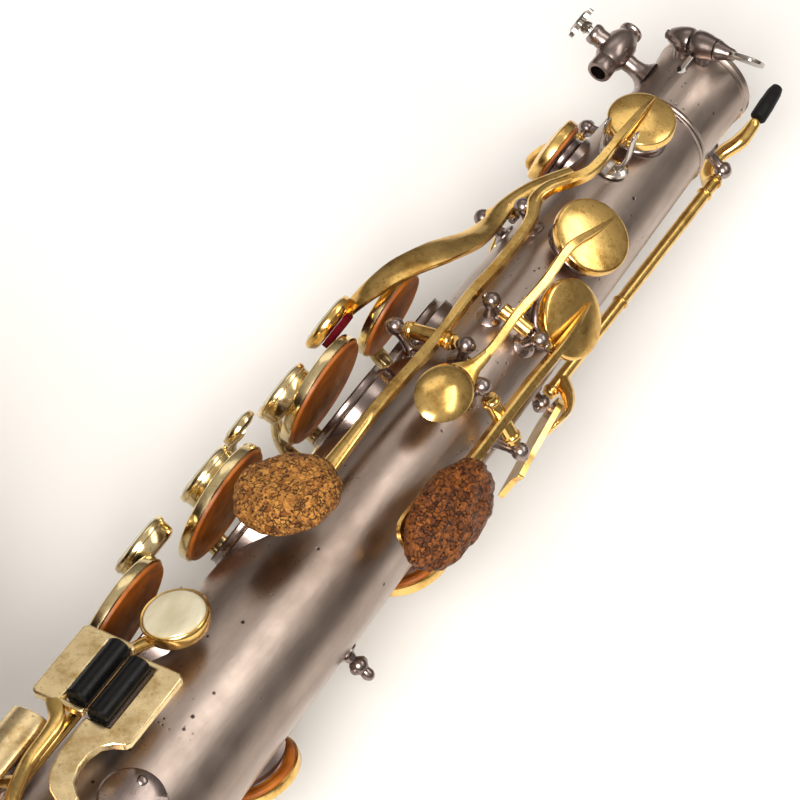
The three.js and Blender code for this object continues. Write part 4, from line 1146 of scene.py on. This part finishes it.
def side_key_guide():
    down = 312
    foot = [(0, 0), (4, 0), (3.8, 0.8), (2.8, 1.6), (0, 1.8)]
    form = together(turned(foot, frame_above(down, angle, 0.7), 28) for angle in (-143, 152))
    path = points((-19, down, -38), (-13, down, -51.8), (-2, down, -54.8), (9, down, -51.8), (16, down, -38))
    return form + guard([above(down, -143, 1.6), *path, above(down, 152, 1.6)], 4.4, 12)


piece("thumb_rest_button", thumb_rest(), RUBBER, "thumb_rest")
piece("thumb_hook_bar", thumb_hook(), SMOOTH_SILVER, "thumb_hook", edge=0.3)
piece("strap_eye", strap_ring(), SMOOTH_SILVER, "strap_ring", edge=0.3)
piece("palm_f_fork", palm_f_guide(), HIGHLIGHT_SILVER, "palm_f_guide")
piece("low_c_guard", low_key_guard(), GOLD, "low_key_guard")
piece("bell_guard", bell_key_guard(), GOLD, "bell_key_guard")
piece("side_guide", side_key_guide(), GOLD, "side_key_guide")

# ---- Palm keys and front key

PALM_F_SPINE = over_tube(
    (37, -20, 9.0), (45, -19.5, 10.4), (60, -19, 11.3), (76, -20, 11.3), (83, -27, 11.3), (88, -34, 11.3),
    (94, -36, 11.2), (102, -30, 10.8), (120, -28, 10.2), (136, -30, 9.6), (153, -29.5, 8.6), (185, -31, 8.4),
    (218, -29.5, 8.6),
)
PALM_F_SIZES = [
    (0.6, 1.2), (2.0, 2.8), (2.9, 3.6), (3.2, 3.6), (3.8, 3.2), (4.2, 3.0), (4.0, 3.2), (3.4, 3.4),
    (3.1, 3.6), (3.1, 3.6), (3.2, 3.8), (3.3, 3.4), (5, 2.6),
]
PALM_EB_SPINE = over_tube(
    (83, 9, 9.2), (92, 5, 10.6), (104, -1, 11.2), (119, 0, 9.6), (133, -1, 8.8), (150, 0, 9.4),
    (158, -1.5, 9.8), (165, -4, 10),
)
PALM_EB_SIZES = [(0.6, 1), (2.0, 2.8), (2.9, 3.6), (3.0, 3.4), (2.9, 3.4), (2.8, 3.0), (4.6, 2.4), (11, 1.6)]
PALM_D_SPINE = over_tube(
    (111, 31, 9.2), (120, 31, 10.2), (131, 31.5, 10.4), (145, 32, 9.2), (161, 32, 8.8), (178, 32, 8.8),
    (194, 31, 9),
)
PALM_D_SIZES = [(0.6, 1), (1.8, 2.6), (2.8, 3.4), (3.4, 3.4), (3.4, 3.4), (3.4, 3.4), (5, 2.8)]

PALM_F_TOUCH = frame_above(232, -30, 8.5) @ Matrix.Rotation(math.radians(-28), 4, "Z")
PALM_D_TOUCH = frame_above(204, 31, 8.5)
PALM_EB_TOUCH = frame_above(172, -6, 9, 0.5)


def saddle(name, spine_place):
    """The short web that joins a palm key's arm to its hinge tube."""
    start, end = HINGES[name]
    middle = (start + end) / 2
    axis = (end - start).normalized()
    near = middle + axis * (spine_place - middle).dot(axis)
    path = [near, near.lerp(spine_place, 0.6), spine_place]
    return swept(path, [(4.4, 4.6), (4, 4), (3.6, 5)], facing=axis, square=2.6, end=1)


def lump(place, width, length, height, grain, seed):
    """A shaped cork: a worn egg with a flat seat and an uneven skin."""
    rings = 26
    sides = 64
    corners = []
    numbers = []
    for step in range(rings + 1):
        lift = math.pi * (step / rings - 0.5)
        z = 0.5 + 0.5 * math.sin(lift)
        reach = max(math.cos(lift), 0) ** 0.8
        first = len(corners)
        if step in (0, rings):
            corners.append(Vector((0, 0, z * height)))
            numbers.append([first] * sides)
            continue
        for i in range(sides):
            turn = math.tau * i / sides
            across, along = reach * math.cos(turn) * width / 2, reach * math.sin(turn) * length / 2
            corner = Vector((across, along, z * height))
            rough = noise.noise(corner * 0.55 + Vector((seed, 0, 0))) * grain
            rough += noise.noise(corner * 0.16 + Vector((0, seed, 0))) * grain * 1.6
            corners.append(corner * (1 + rough / (width / 2)))
        numbers.append(list(range(first, first + sides)))
    return Form(corners, skin(numbers)).moved(place)


def spoon(place, width, length):
    """A domed touch: thin edge, full crown."""
    profile = [(0, 0), (0.6, 0.05), (0.86, 0.3), (0.97, 0.62), (1, 0.82), (0.96, 1.0), (0.8, 1.45)]
    profile += [(0.5, 1.95), (0.25, 2.15), (0, 2.2)]
    return turned(profile, place @ Matrix.Diagonal((width, length, 2.1, 1)), 56)


CORK_HEIGHT = 12.4
palm_f_seat = slab(oblong(11, 17, 5), PALM_F_TOUCH, 0.6, 2.4)
palm_d_seat = slab(oblong(14, 27, 6), PALM_D_TOUCH, 0.2, 1.8)
# Each palm key: its spine and sizes, how square it is, where its saddle meets it, its touch or cork's seat
PALM_KEYS = {
    "palm_f": (PALM_F_SPINE, PALM_F_SIZES, 9, (153, -29.5, 8), palm_f_seat),
    "palm_eb": (PALM_EB_SPINE, PALM_EB_SIZES, 7, (133, -1, 8), spoon(PALM_EB_TOUCH, 8.1, 10.6)),
    "palm_d": (PALM_D_SPINE, PALM_D_SIZES, 9, (161, 32, 8), palm_d_seat),
}
# Each cork: its place, width, length, height, grain and seed, and its material
CORKS = {
    "palm_f": ((PALM_F_TOUCH @ Matrix.Translation((0, 0, 2.2)), 27.6, 31, CORK_HEIGHT, 0.55, 3.0), CORK),
    "palm_d": ((PALM_D_TOUCH @ Matrix.Translation((0, 0, 2.2)), 23, 39, CORK_HEIGHT, 0.6, 11.0), DARK_CORK),
}
for key, (spine, sizes, square, joint, touch) in PALM_KEYS.items():
    arm = swept(spine, sizes, square=square, end=1) + hinge_tube(key)
    padded_cup(key, arm + saddle(key, above(*joint)) + touch, GOLD)
    if key in CORKS:
        shape, material = CORKS[key]
        piece(key + "_cork_shape", lump(*shape), material, key + "_cork")

FRONT_F_PEARL = frame_at(160, STACK, 41.6, 3)
FRONT_F_SPINE = points(
    (-39.6, 156, 5), (-38, 150, 13), (-35, 140, 17.5), (-29.5, 128, 19.5), (-24.5, 116, 18),
    (-22.8, 104, 14.5), (-22.6, 95, 13.5), (-20, 86, 16), (-14, 74, 18.6),
)
FRONT_F_SIZES = [
    (5, 1.9), (6.5, 2), (9, 2), (10.4, 2.1), (8.6, 2.2), (6, 2.4), (5.4, 2.6), (4.8, 2.4), (4, 2),
]
FRONT_F_FACING = Vector((-0.55, 0, 0.84)).normalized()
front_f = swept(FRONT_F_SPINE, FRONT_F_SIZES, facing=FRONT_F_FACING, square=6, end=0.9)
front_f += hinge_tube("front_f") + pearl_cup(FRONT_F_PEARL, 9.4, 2.4)
piece("front_f_lever", front_f, GOLD, "front_f_key")
piece("front_f_touch", pearl_disc(FRONT_F_PEARL, 9.4), PEARL, "front_f_pearl")

FELT_TOP = -2.7
felt_disc = turned([(0, -4.8), (5.7, -4.8), (6.2, -4.3), (6.2, FELT_TOP), (0, FELT_TOP)], FRONT_F_PEARL, 32)
front_f_felt = piece("front_f_felt", felt_disc, FELT, body="front_f")
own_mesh(front_f_felt)

# ---- Octave mechanism

OCTAVE_ARM = points((22, 116, -8), (27, 122, -5), (29.2, 130, -2), (28.4, 139, -1))
OCTAVE_HOOK = points(
    (22, 25, -8), (21, 21.5, -12), (18.2, 15, -14.5), (18.4, 9, -13.5), (20.6, 3, -9), (20.5, -4, -4),
)
OCTAVE_HOOK_SIZES = [(4, 4), (4.4, 3.8), (4.6, 3.6), (5.6, 4), (6.4, 4.6), (3.6, 3.6)]
octave_touch = frame_at(147, 92, 27.4, -1) @ Matrix.Rotation(math.radians(-7.8), 4, "X")
fan = [(-4.5, 17), (4.5, 17), (8.5, 12), (7, -6), (8, -16.5), (0, -13.5), (-8, -16.5), (-7, -6), (-8.5, 12)]
octave = hinge_tube("octave", 2.0, (8, 60))
octave += swept(OCTAVE_ARM, [(4, 4), (4.4, 3.2), (7, 2.4), (9, 1.8)], outward(92), square=3, steps=10)
octave += slab(rounded(fan, 1.8), octave_touch, -0.9, 0.9)
octave += swept(OCTAVE_HOOK, OCTAVE_HOOK_SIZES, square=2.6, steps=10)
piece("octave_lever", octave, GOLD, "octave_key", edge=0.25)

sleeve = [(0, 0), (2.3, 0), (2.6, 0.4), (2.6, 6), (2.3, 12), (1.8, 14.2), (0, 14.9)]
sleeve_root, sleeve_end = points((20.4, -4.3, -4), (19.4, -19, -4))
sleeve_place = frame_along(sleeve_root, sleeve_end - sleeve_root)
piece("octave_sleeve", turned(sleeve, sleeve_place, 32), RUBBER, "octave_tip")

pip_place = frame_above(150, 150, 2)
pip = swept(over_tube((148, 150, 8), (166, 150, 6.8), (176, 150, 6.6)), (3, 2.4), square=3)
pip += hinge_tube("octave_pip", 1.8)
pip += turned([(0, 1.6), (3.6, 1.6), (4.4, 1.4), (4.5, 4), (3.9, 5), (0, 5.8)], pip_place, 32)
piece("octave_vent_key", pip, GOLD, "octave_pip_key")
vent_disc = turned([(0, 0), (3.4, 0), (4, 0.5), (3.9, 1.5), (0, 1.5)], pip_place, 32)
vent_pad = piece("octave_vent_pad", vent_disc, LEATHER, body="octave_pip")

# ---- Stacks

# Each pearl: distance down, distance from the tube's axis, radius, its key's rod
PEARLS = {
    "b": (186.5, 39.3, 9.9, UPPER_ROD),
    "bis": (205, 41.8, 6, UPPER_ROD),
    "a": (224, 41, 9.9, UPPER_ROD),
    "g": (255, 42.3, 9.9, UPPER_ROD),
    "f": (428, 46.5, 10, LOWER_ROD),
    "e": (478, 48, 10, LOWER_ROD),
    "d": (536, 50, 10, LOWER_ROD),
}


def stack_arm(name, rod_place):
    """From the hinge tube round to a cup that is drawn closed."""
    down = PADS[name][0]
    seat = -(outer_radius(down) + SEAT + CUP_HEIGHT)
    x, z = rod_place
    path = points((x, down, z), (seat + 3, down, z + 3), (seat - 0.8, down, -12), (seat - 0.4, down, 3))
    return swept(path, [(5, 4.4), (5, 3.6), (4.4, 3), (2.4, 1.6)], steps=10)


def pearl_carrier(name):
    down, distance, radius, (x, z) = PEARLS[name]
    depth, drop = (1.5, 1.4) if name == "bis" else (5.2, 3)
    level = drop - distance
    path = points((x, down, z), (x - 10, down, z + 1), (level, down, z + 12), (level, down, 0))
    arm = swept(path, [(4.4, 4), (4, 3.4), (3.8, 3), (3.2, 2.4)])
    return arm + pearl_cup(frame_at(down, STACK, distance), radius, depth)


for rod_place, keys in ((UPPER_ROD, ("c", "b", "a", "g")), (LOWER_ROD, ("f_sharp", "f", "e", "d"))):
    for key in keys:
        opened = turn_about(HINGES[key], -STACK_OPENING)
        metal = stack_arm(key, rod_place).moved(opened) + hinge_tube(key)
        if key in PEARLS:
            metal += pearl_carrier(key)
        padded_cup(key, metal, PALE_GOLD, opened=opened)
piece("bis_metal", pearl_carrier("bis") + hinge_tube("bis"), PALE_GOLD, "bis_key")
for key, (down, distance, radius, _) in PEARLS.items():
    piece(key + "_touch", pearl_disc(frame_at(down, STACK, distance), radius), PEARL, key + "_pearl")

# ---- G sharp and the left-hand table

G_SHARP_PEARL = frame_at(281, -38, 35.2)
g_sharp_arm = [*points((-25.9, 345, 20.3), (-31, 344, 9), (-33, 341, -3)), cup_top("g_sharp", 5)]
g_sharp_lever = points((-25.9, 299, 20.3), (-25.4, 294, 20.7), (-20.6, 285, 24.6))
g_sharp = swept(g_sharp_arm, [(4, 3.6), (4, 3), (3.6, 2.8), (2.4, 1.8)])
g_sharp += swept(g_sharp_lever, [(3.6, 3.2), (4, 2.6), (5, 2.4)], square=3)
g_sharp += rod(*HINGES["g_sharp"], 1.85) + pearl_cup(G_SHARP_PEARL, 9.8, 4.4)
padded_cup("g_sharp", g_sharp, GOLD)
piece("g_sharp_touch", pearl_disc(G_SHARP_PEARL, 9.8), PEARL, "g_sharp_pearl")

TABLE = frame_at(0, TABLE_ANGLE, 0)
TABLE_OUT = outward(TABLE_ANGLE)


def on_table(*spots):
    """Points from (shift, distance down, level over the tube's axis) on the table."""
    return [TABLE @ Vector((shift, -down, level)) for shift, down, level in spots]


def table_plate(name, body, pairs):
    outline = [(shift, -down) for shift, down in pairs]
    form = slab(outline, TABLE, TABLE_LEVEL - 2.5, TABLE_LEVEL + 0.3)
    piece(name, form, TABLE_GOLD, body=body, edge=0.7)


# Each roller: its shift on the table, its upper and its lower end
ROLLERS = {"low_b": (-10.4, 298.5, 319.5), "low_c_sharp": (-1.9, 301, 322)}
ROLLER_LEVEL = TABLE_LEVEL + 0.8


def roller(name):
    """A roller with eased ends and a pin hole in each."""
    shift, top, bottom = ROLLERS[name]
    start, end = on_table((shift, top, ROLLER_LEVEL), (shift, bottom, ROLLER_LEVEL))
    length = (end - start).length
    profile = [(0, 0.5), (0.9, 0.5), (0.9, 0), (3.0, 0), (3.6, 0.6), (3.6, length - 0.6), (3.0, length)]
    profile += [(0.9, length), (0.9, length - 0.5), (0, length - 0.5)]
    return turned(profile, frame_along(start, end - start), 36)


for key in ROLLERS:
    piece(key + "_roller_bar", roller(key), BLACK, key + "_roller")


def bell_key(name, lean_z, ring, lever):
    """A bell key's cup and arm, drawn closed and opened about its rod, then its rod and lever."""
    height = BELL_PADS[name][0]
    seat = bell_hole(height, bell_radius(height) + SEAT + BELL_LIFT)
    top = seat @ Vector((0, 0, CUP_HEIGHT))
    x, z = rod_at(name)
    path = [Vector((x, top.y, z)), Vector((x - 14, top.y, z + lean_z)), Vector((-61, top.y, top.z + 1))]
    path.append(Vector((top.x + 4, top.y, top.z + 0.6)))
    opened = turn_about(HINGES[name], -BELL_KEY_OPENING)
    arm = swept(path, [(6, 5), (6, 4.4), (5.4, 4), (3, 1.8)], facing=LEFT, steps=10)
    metal = arm.moved(opened) + hinge_tube(name, extra=(ring, ring + 60)) + lever
    padded_cup(name, metal, GOLD, seat, opened)


low_b_lever = on_table((-19.5, 314, 36.1), (-16.2, 321, 36.3), (-11.8, 327, 36.8), (-10, 343, 37.2))
low_b_lever += points((-22.4, 360, 33), (-12.8, 370, 34.3))
low_b_sizes = [(7, 2.2), (5.6, 2.6), (4.4, 2.8), (4.2, 3), (4.4, 3.6), (4, 4)]
bell_key("low_b", 8, 30, swept(low_b_lever, low_b_sizes, TABLE_OUT, square=3))
table_plate("low_b_plate", "low_b", [
    (-24, 296.6), (-22.4, 295.6), (-8.1, 295.6), (-6.9, 296.6), (-6.9, 298), (-14.7, 298), (-14.7, 320),
    (-6.9, 320), (-6.9, 321.4), (-8, 322), (-22.5, 322), (-24, 321),
])

ON_EDGE = Matrix(((1, 0, 0, 0), (0, 0, 1, 0), (0, 1, 0, 0), (0, 0, 0, 1)))  # swaps a frame's Y and Z
low_bb_lever = on_table((-21, 348, 33.2), (-18, 362, 33.4)) + points((-28, 374, 24), (-21.2, 380, 27.2))
bell_key("low_bb", 12, 24, swept(low_bb_lever, [(8, 2.8), (5, 3.4), (4.4, 3.6), (4, 4)], TABLE_OUT, square=3))
crown = [(-5.9, 0), (-5.6, 1.2), (-4.4, 2.1), (-2.4, 2.7), (0, 2.9)]
crown += [(-across, height) for across, height in crown[-2::-1]]
crown_place = frame_at(340.5, TABLE_ANGLE, 34.6, -21.5) @ Matrix.Translation((0, 0, -2.2)) @ ON_EDGE
piece("low_bb_plate", slab(crown, crown_place, -14.5, 14.5), TABLE_GOLD, body="low_bb", edge=0.8)

hook = on_table((5, 347.4, 36.1), (9, 349, 36.1), (15, 351.6, 35)) + points((2.6, 355, 37.2))
low_c_sharp = swept(hook, [(4.2, 2.2), (4.8, 2.4), (4.6, 3), (4, 4)], TABLE_OUT, square=3.4, steps=10)
low_c_sharp += hinge_tube("low_c_sharp", extra=(60, 150, 240))
low_c_sharp_arm = [*points((2.6, 640, 37), (11.6, 640, 45)), cup_top("low_c_sharp", 5.4)]
low_c_sharp += swept(low_c_sharp_arm, [(5.4, 4.6), (5.4, 4), (3, 2)])
padded_cup("low_c_sharp", low_c_sharp, GOLD)
low_c_sharp_neck = [
    (6.4, 326.8), (3.9, 329), (2.7, 333), (2.9, 337.5), (4.6, 342), (8.6, 345.6), (8.2, 350.4), (4.4, 349.8),
    (0.2, 347.4), (-3.2, 342.8), (-4.9, 336),
]
table_plate("low_c_sharp_plate", "low_c_sharp", [
    (-5.3, 298.4), (9, 298.4), (10.4, 299.6), (10.4, 324), (9.6, 325.6), *low_c_sharp_neck, (-5.3, 329),
    (-5.3, 322.5), (2.4, 322.5), (2.4, 300.5), (-5.3, 300.5),
])

# ---- Side keys and their levers


def side_key(name, path):
    metal = swept([*path, cup_top(name, 5.2)], [(4.6, 4), (4.4, 3.4), (2.6, 2)]) + hinge_tube(name, 2)
    padded_cup(name, metal, GOLD)


side_key("side_e", points((-19, 58, -14), (-25.5, 58, -12)))
for key in ("side_c", "side_bb"):
    x, z = rod_at(key)
    down = PADS[key][0]
    side_key(key, points((x, down, z), (x + 7, down, z - 5)))

PADDLE_LEVEL = -42.5


def side_lever(name, finger, paddle_x):
    """A long rod with a bent finger above and a crowned paddle for the right hand below."""
    start, end = HINGES[name]
    at_knuckle = Vector((start.x, start.y - 4, start.z))
    knuckle = Vector((finger.x, start.y - 4, finger.z)).lerp(at_knuckle, 0.35) + RIGHT * 2
    root = Vector((start.x, start.y - 7, start.z))
    low = end.y + 16
    paddle = Vector((paddle_x, low, PADDLE_LEVEL))
    arm = [Vector((start.x, low, start.z)), Vector((start.x + 3, low, PADDLE_LEVEL + 2)), paddle]
    rings = [(end - start).length * share for share in (0.25, 0.5, 0.75)]
    bar = swept([root, knuckle, finger], [(4, 3.8), (4, 3.2), (3.2, 2.6)], facing=RIGHT)
    bar += swept(arm, [(4.4, 4), (4.4, 3.4), (6, 2)], facing=UP) + hinge_tube(name, 2, rings)
    crown = [(-6, -1), (-5.6, 0.3), (-3.4, 1.0), (0, 1.2), (3.4, 1.0), (5.6, 0.3), (6, -1)]
    plate = slab(crown, frame_along(paddle, RIGHT) @ ON_EDGE, -15, 15)
    piece(name + "_bar", bar, GOLD, name)
    piece(name + "_paddle", plate, GOLD, body=name, edge=0.6)


side_lever("side_e_lever", point(-19, 78, -22), 13)
side_lever("side_c_lever", point(3.5, 209, -34), 14)
side_lever("side_bb_lever", point(9, 297, -37), 17)

# ---- Right-hand little-finger keys


def finger_plate(middle, width, length, name, body):
    place = frame_along(middle, outward(-130))
    piece(name, slab(oblong(width, length, 4), place, -1.2, 1.2), GOLD, body=body, edge=0.6)


FINGER_ARM = [(4.6, 4.4), (4.6, 3.6), (5, 2.2)]
x, z = rod_at("low_eb")
touch = point(-42, 582, -31)
cup_arm = [*points((x, 632, z), (x + 8, 632, z - 5)), cup_top("low_eb", 5.2)]
low_eb = swept(cup_arm, [(5.4, 4.6), (5.2, 4), (3, 2)])
low_eb += swept([*points((x, 582, z), (-30, 582, -41)), touch], FINGER_ARM) + hinge_tube("low_eb")
padded_cup("low_eb", low_eb, GOLD)
finger_plate(touch, 16, 24, "low_eb_plate", "low_eb")

x, z = rod_at("low_c")
touch = point(-46, 606, -31)
seat = LOW_C_PLACE + RIGHT * (BOW_RADIUS + SEAT)
top = LOW_C_PLACE + RIGHT * (BOW_RADIUS + SEAT + CUP_HEIGHT + 0.6)
opened = turn_about(HINGES["low_c"], -LOW_C_OPENING)
cup_arm = [*points((x, 698, z), (x - 7, 709, top.z - 0.5)), top]
low_c = swept(cup_arm, [(5.6, 4.6), (5.4, 4), (3, 1.8)], facing=RIGHT).moved(opened)
low_c += swept([*points((x, 604, z), (-38, 605, -40)), touch], FINGER_ARM)
low_c += hinge_tube("low_c", extra=(40, 80))
padded_cup("low_c", low_c, GOLD, frame_along(seat, RIGHT), opened)
finger_plate(touch, 16, 22, "low_c_plate", "low_c")

# ---- Floor, light and camera, in metres


def plane(name, size, place, material):
    mesh = bpy.data.meshes.new(name)
    half = size / 2
    corners = [(-half, -half, 0), (half, -half, 0), (half, half, 0), (-half, half, 0)]
    mesh.from_pydata(corners, [], [(0, 1, 2, 3)])
    mesh.materials.append(material)
    thing = new_object(name, mesh)
    thing.location = place
    return thing


def table_top():
    surface = Surface("table_top", roughness=0.5)
    surface.color(surface.ramp(surface.noise(3, 3), (0.3, (0.83, 0.81, 0.78)), (0.7, (0.87, 0.855, 0.83))))
    return surface.material


plane("floor", 8, (0, 0, 0), table_top())


def soft_light(name, place, target, width, height, power, color):
    lamp = bpy.data.lights.new(name, "AREA")
    lamp.shape = "RECTANGLE"
    lamp.size = width
    lamp.size_y = height
    lamp.energy = power
    lamp.color = color
    thing = new_object(name, lamp)
    thing.location = place
    thing.rotation_mode = "QUATERNION"
    thing.rotation_quaternion = (Vector(target) - Vector(place)).to_track_quat("-Z", "Y")


soft_light("room", (0.25, -1.25, 1.65), (0, 0.05, 0), 1.1, 1.1, 62, (1.0, 0.975, 0.95))
soft_light("window", (0.43, 0.6, 0.92), (0.075, 0.095, 0.08), 0.8, 0.32, 2.7, (1.0, 0.975, 0.93))
soft_light("sky", (-0.85, 1.1, 1.45), (0, 0.1, 0), 1.2, 0.8, 2.2, (1.0, 0.97, 0.93))

# A sky that is darker low down
world = bpy.data.worlds.new("studio")
world.use_nodes = True
sky_nodes = world.node_tree.nodes
sky_links = world.node_tree.links
height = sky_nodes.new("ShaderNodeSeparateXYZ")
sky_links.new(sky_nodes.new("ShaderNodeTexCoord").outputs["Generated"], height.inputs["Vector"])
fade = sky_nodes.new("ShaderNodeValToRGB")
fade.color_ramp.elements[0].color = (0.09, 0.075, 0.065, 1)
fade.color_ramp.elements[1].color = (0.52, 0.49, 0.46, 1)
fade.color_ramp.elements[1].position = 0.9
sky_links.new(height.outputs["Z"], fade.inputs["Fac"])
sky_links.new(fade.outputs["Color"], sky_nodes["Background"].inputs["Color"])
bpy.context.scene.world = world
bpy.context.scene.view_settings.view_transform = "Standard"
bpy.context.scene.view_settings.look = "None"

CAMERA_ELEVATION = math.radians(33)
CAMERA_ROLL = math.radians(38.9)
CAMERA_TARGET = Vector((-11.2, -163.3, 0))  # in the instrument's frame, like the distance
CAMERA_DISTANCE = 1263
CAMERA_LENS = 196.0

to_camera = Vector((0, -math.sin(CAMERA_ELEVATION), math.cos(CAMERA_ELEVATION)))
along_tube = Vector((0, math.cos(CAMERA_ELEVATION), math.sin(CAMERA_ELEVATION)))
right = Vector((1, 0, 0)) * math.cos(CAMERA_ROLL) + along_tube * math.sin(CAMERA_ROLL)
up = Vector((-1, 0, 0)) * math.sin(CAMERA_ROLL) + along_tube * math.cos(CAMERA_ROLL)
lens = bpy.data.cameras.new("camera")
lens.sensor_width = 36
lens.lens = CAMERA_LENS
lens.clip_start = 0.01
lens.clip_end = 20
camera = new_object("camera", lens)
camera_place = TO_ROW @ (CAMERA_TARGET + to_camera * CAMERA_DISTANCE)
camera.matrix_world = axes(TURN_TO_ROW @ right, TURN_TO_ROW @ up, TURN_TO_ROW @ to_camera, camera_place)
bpy.context.scene.camera = camera
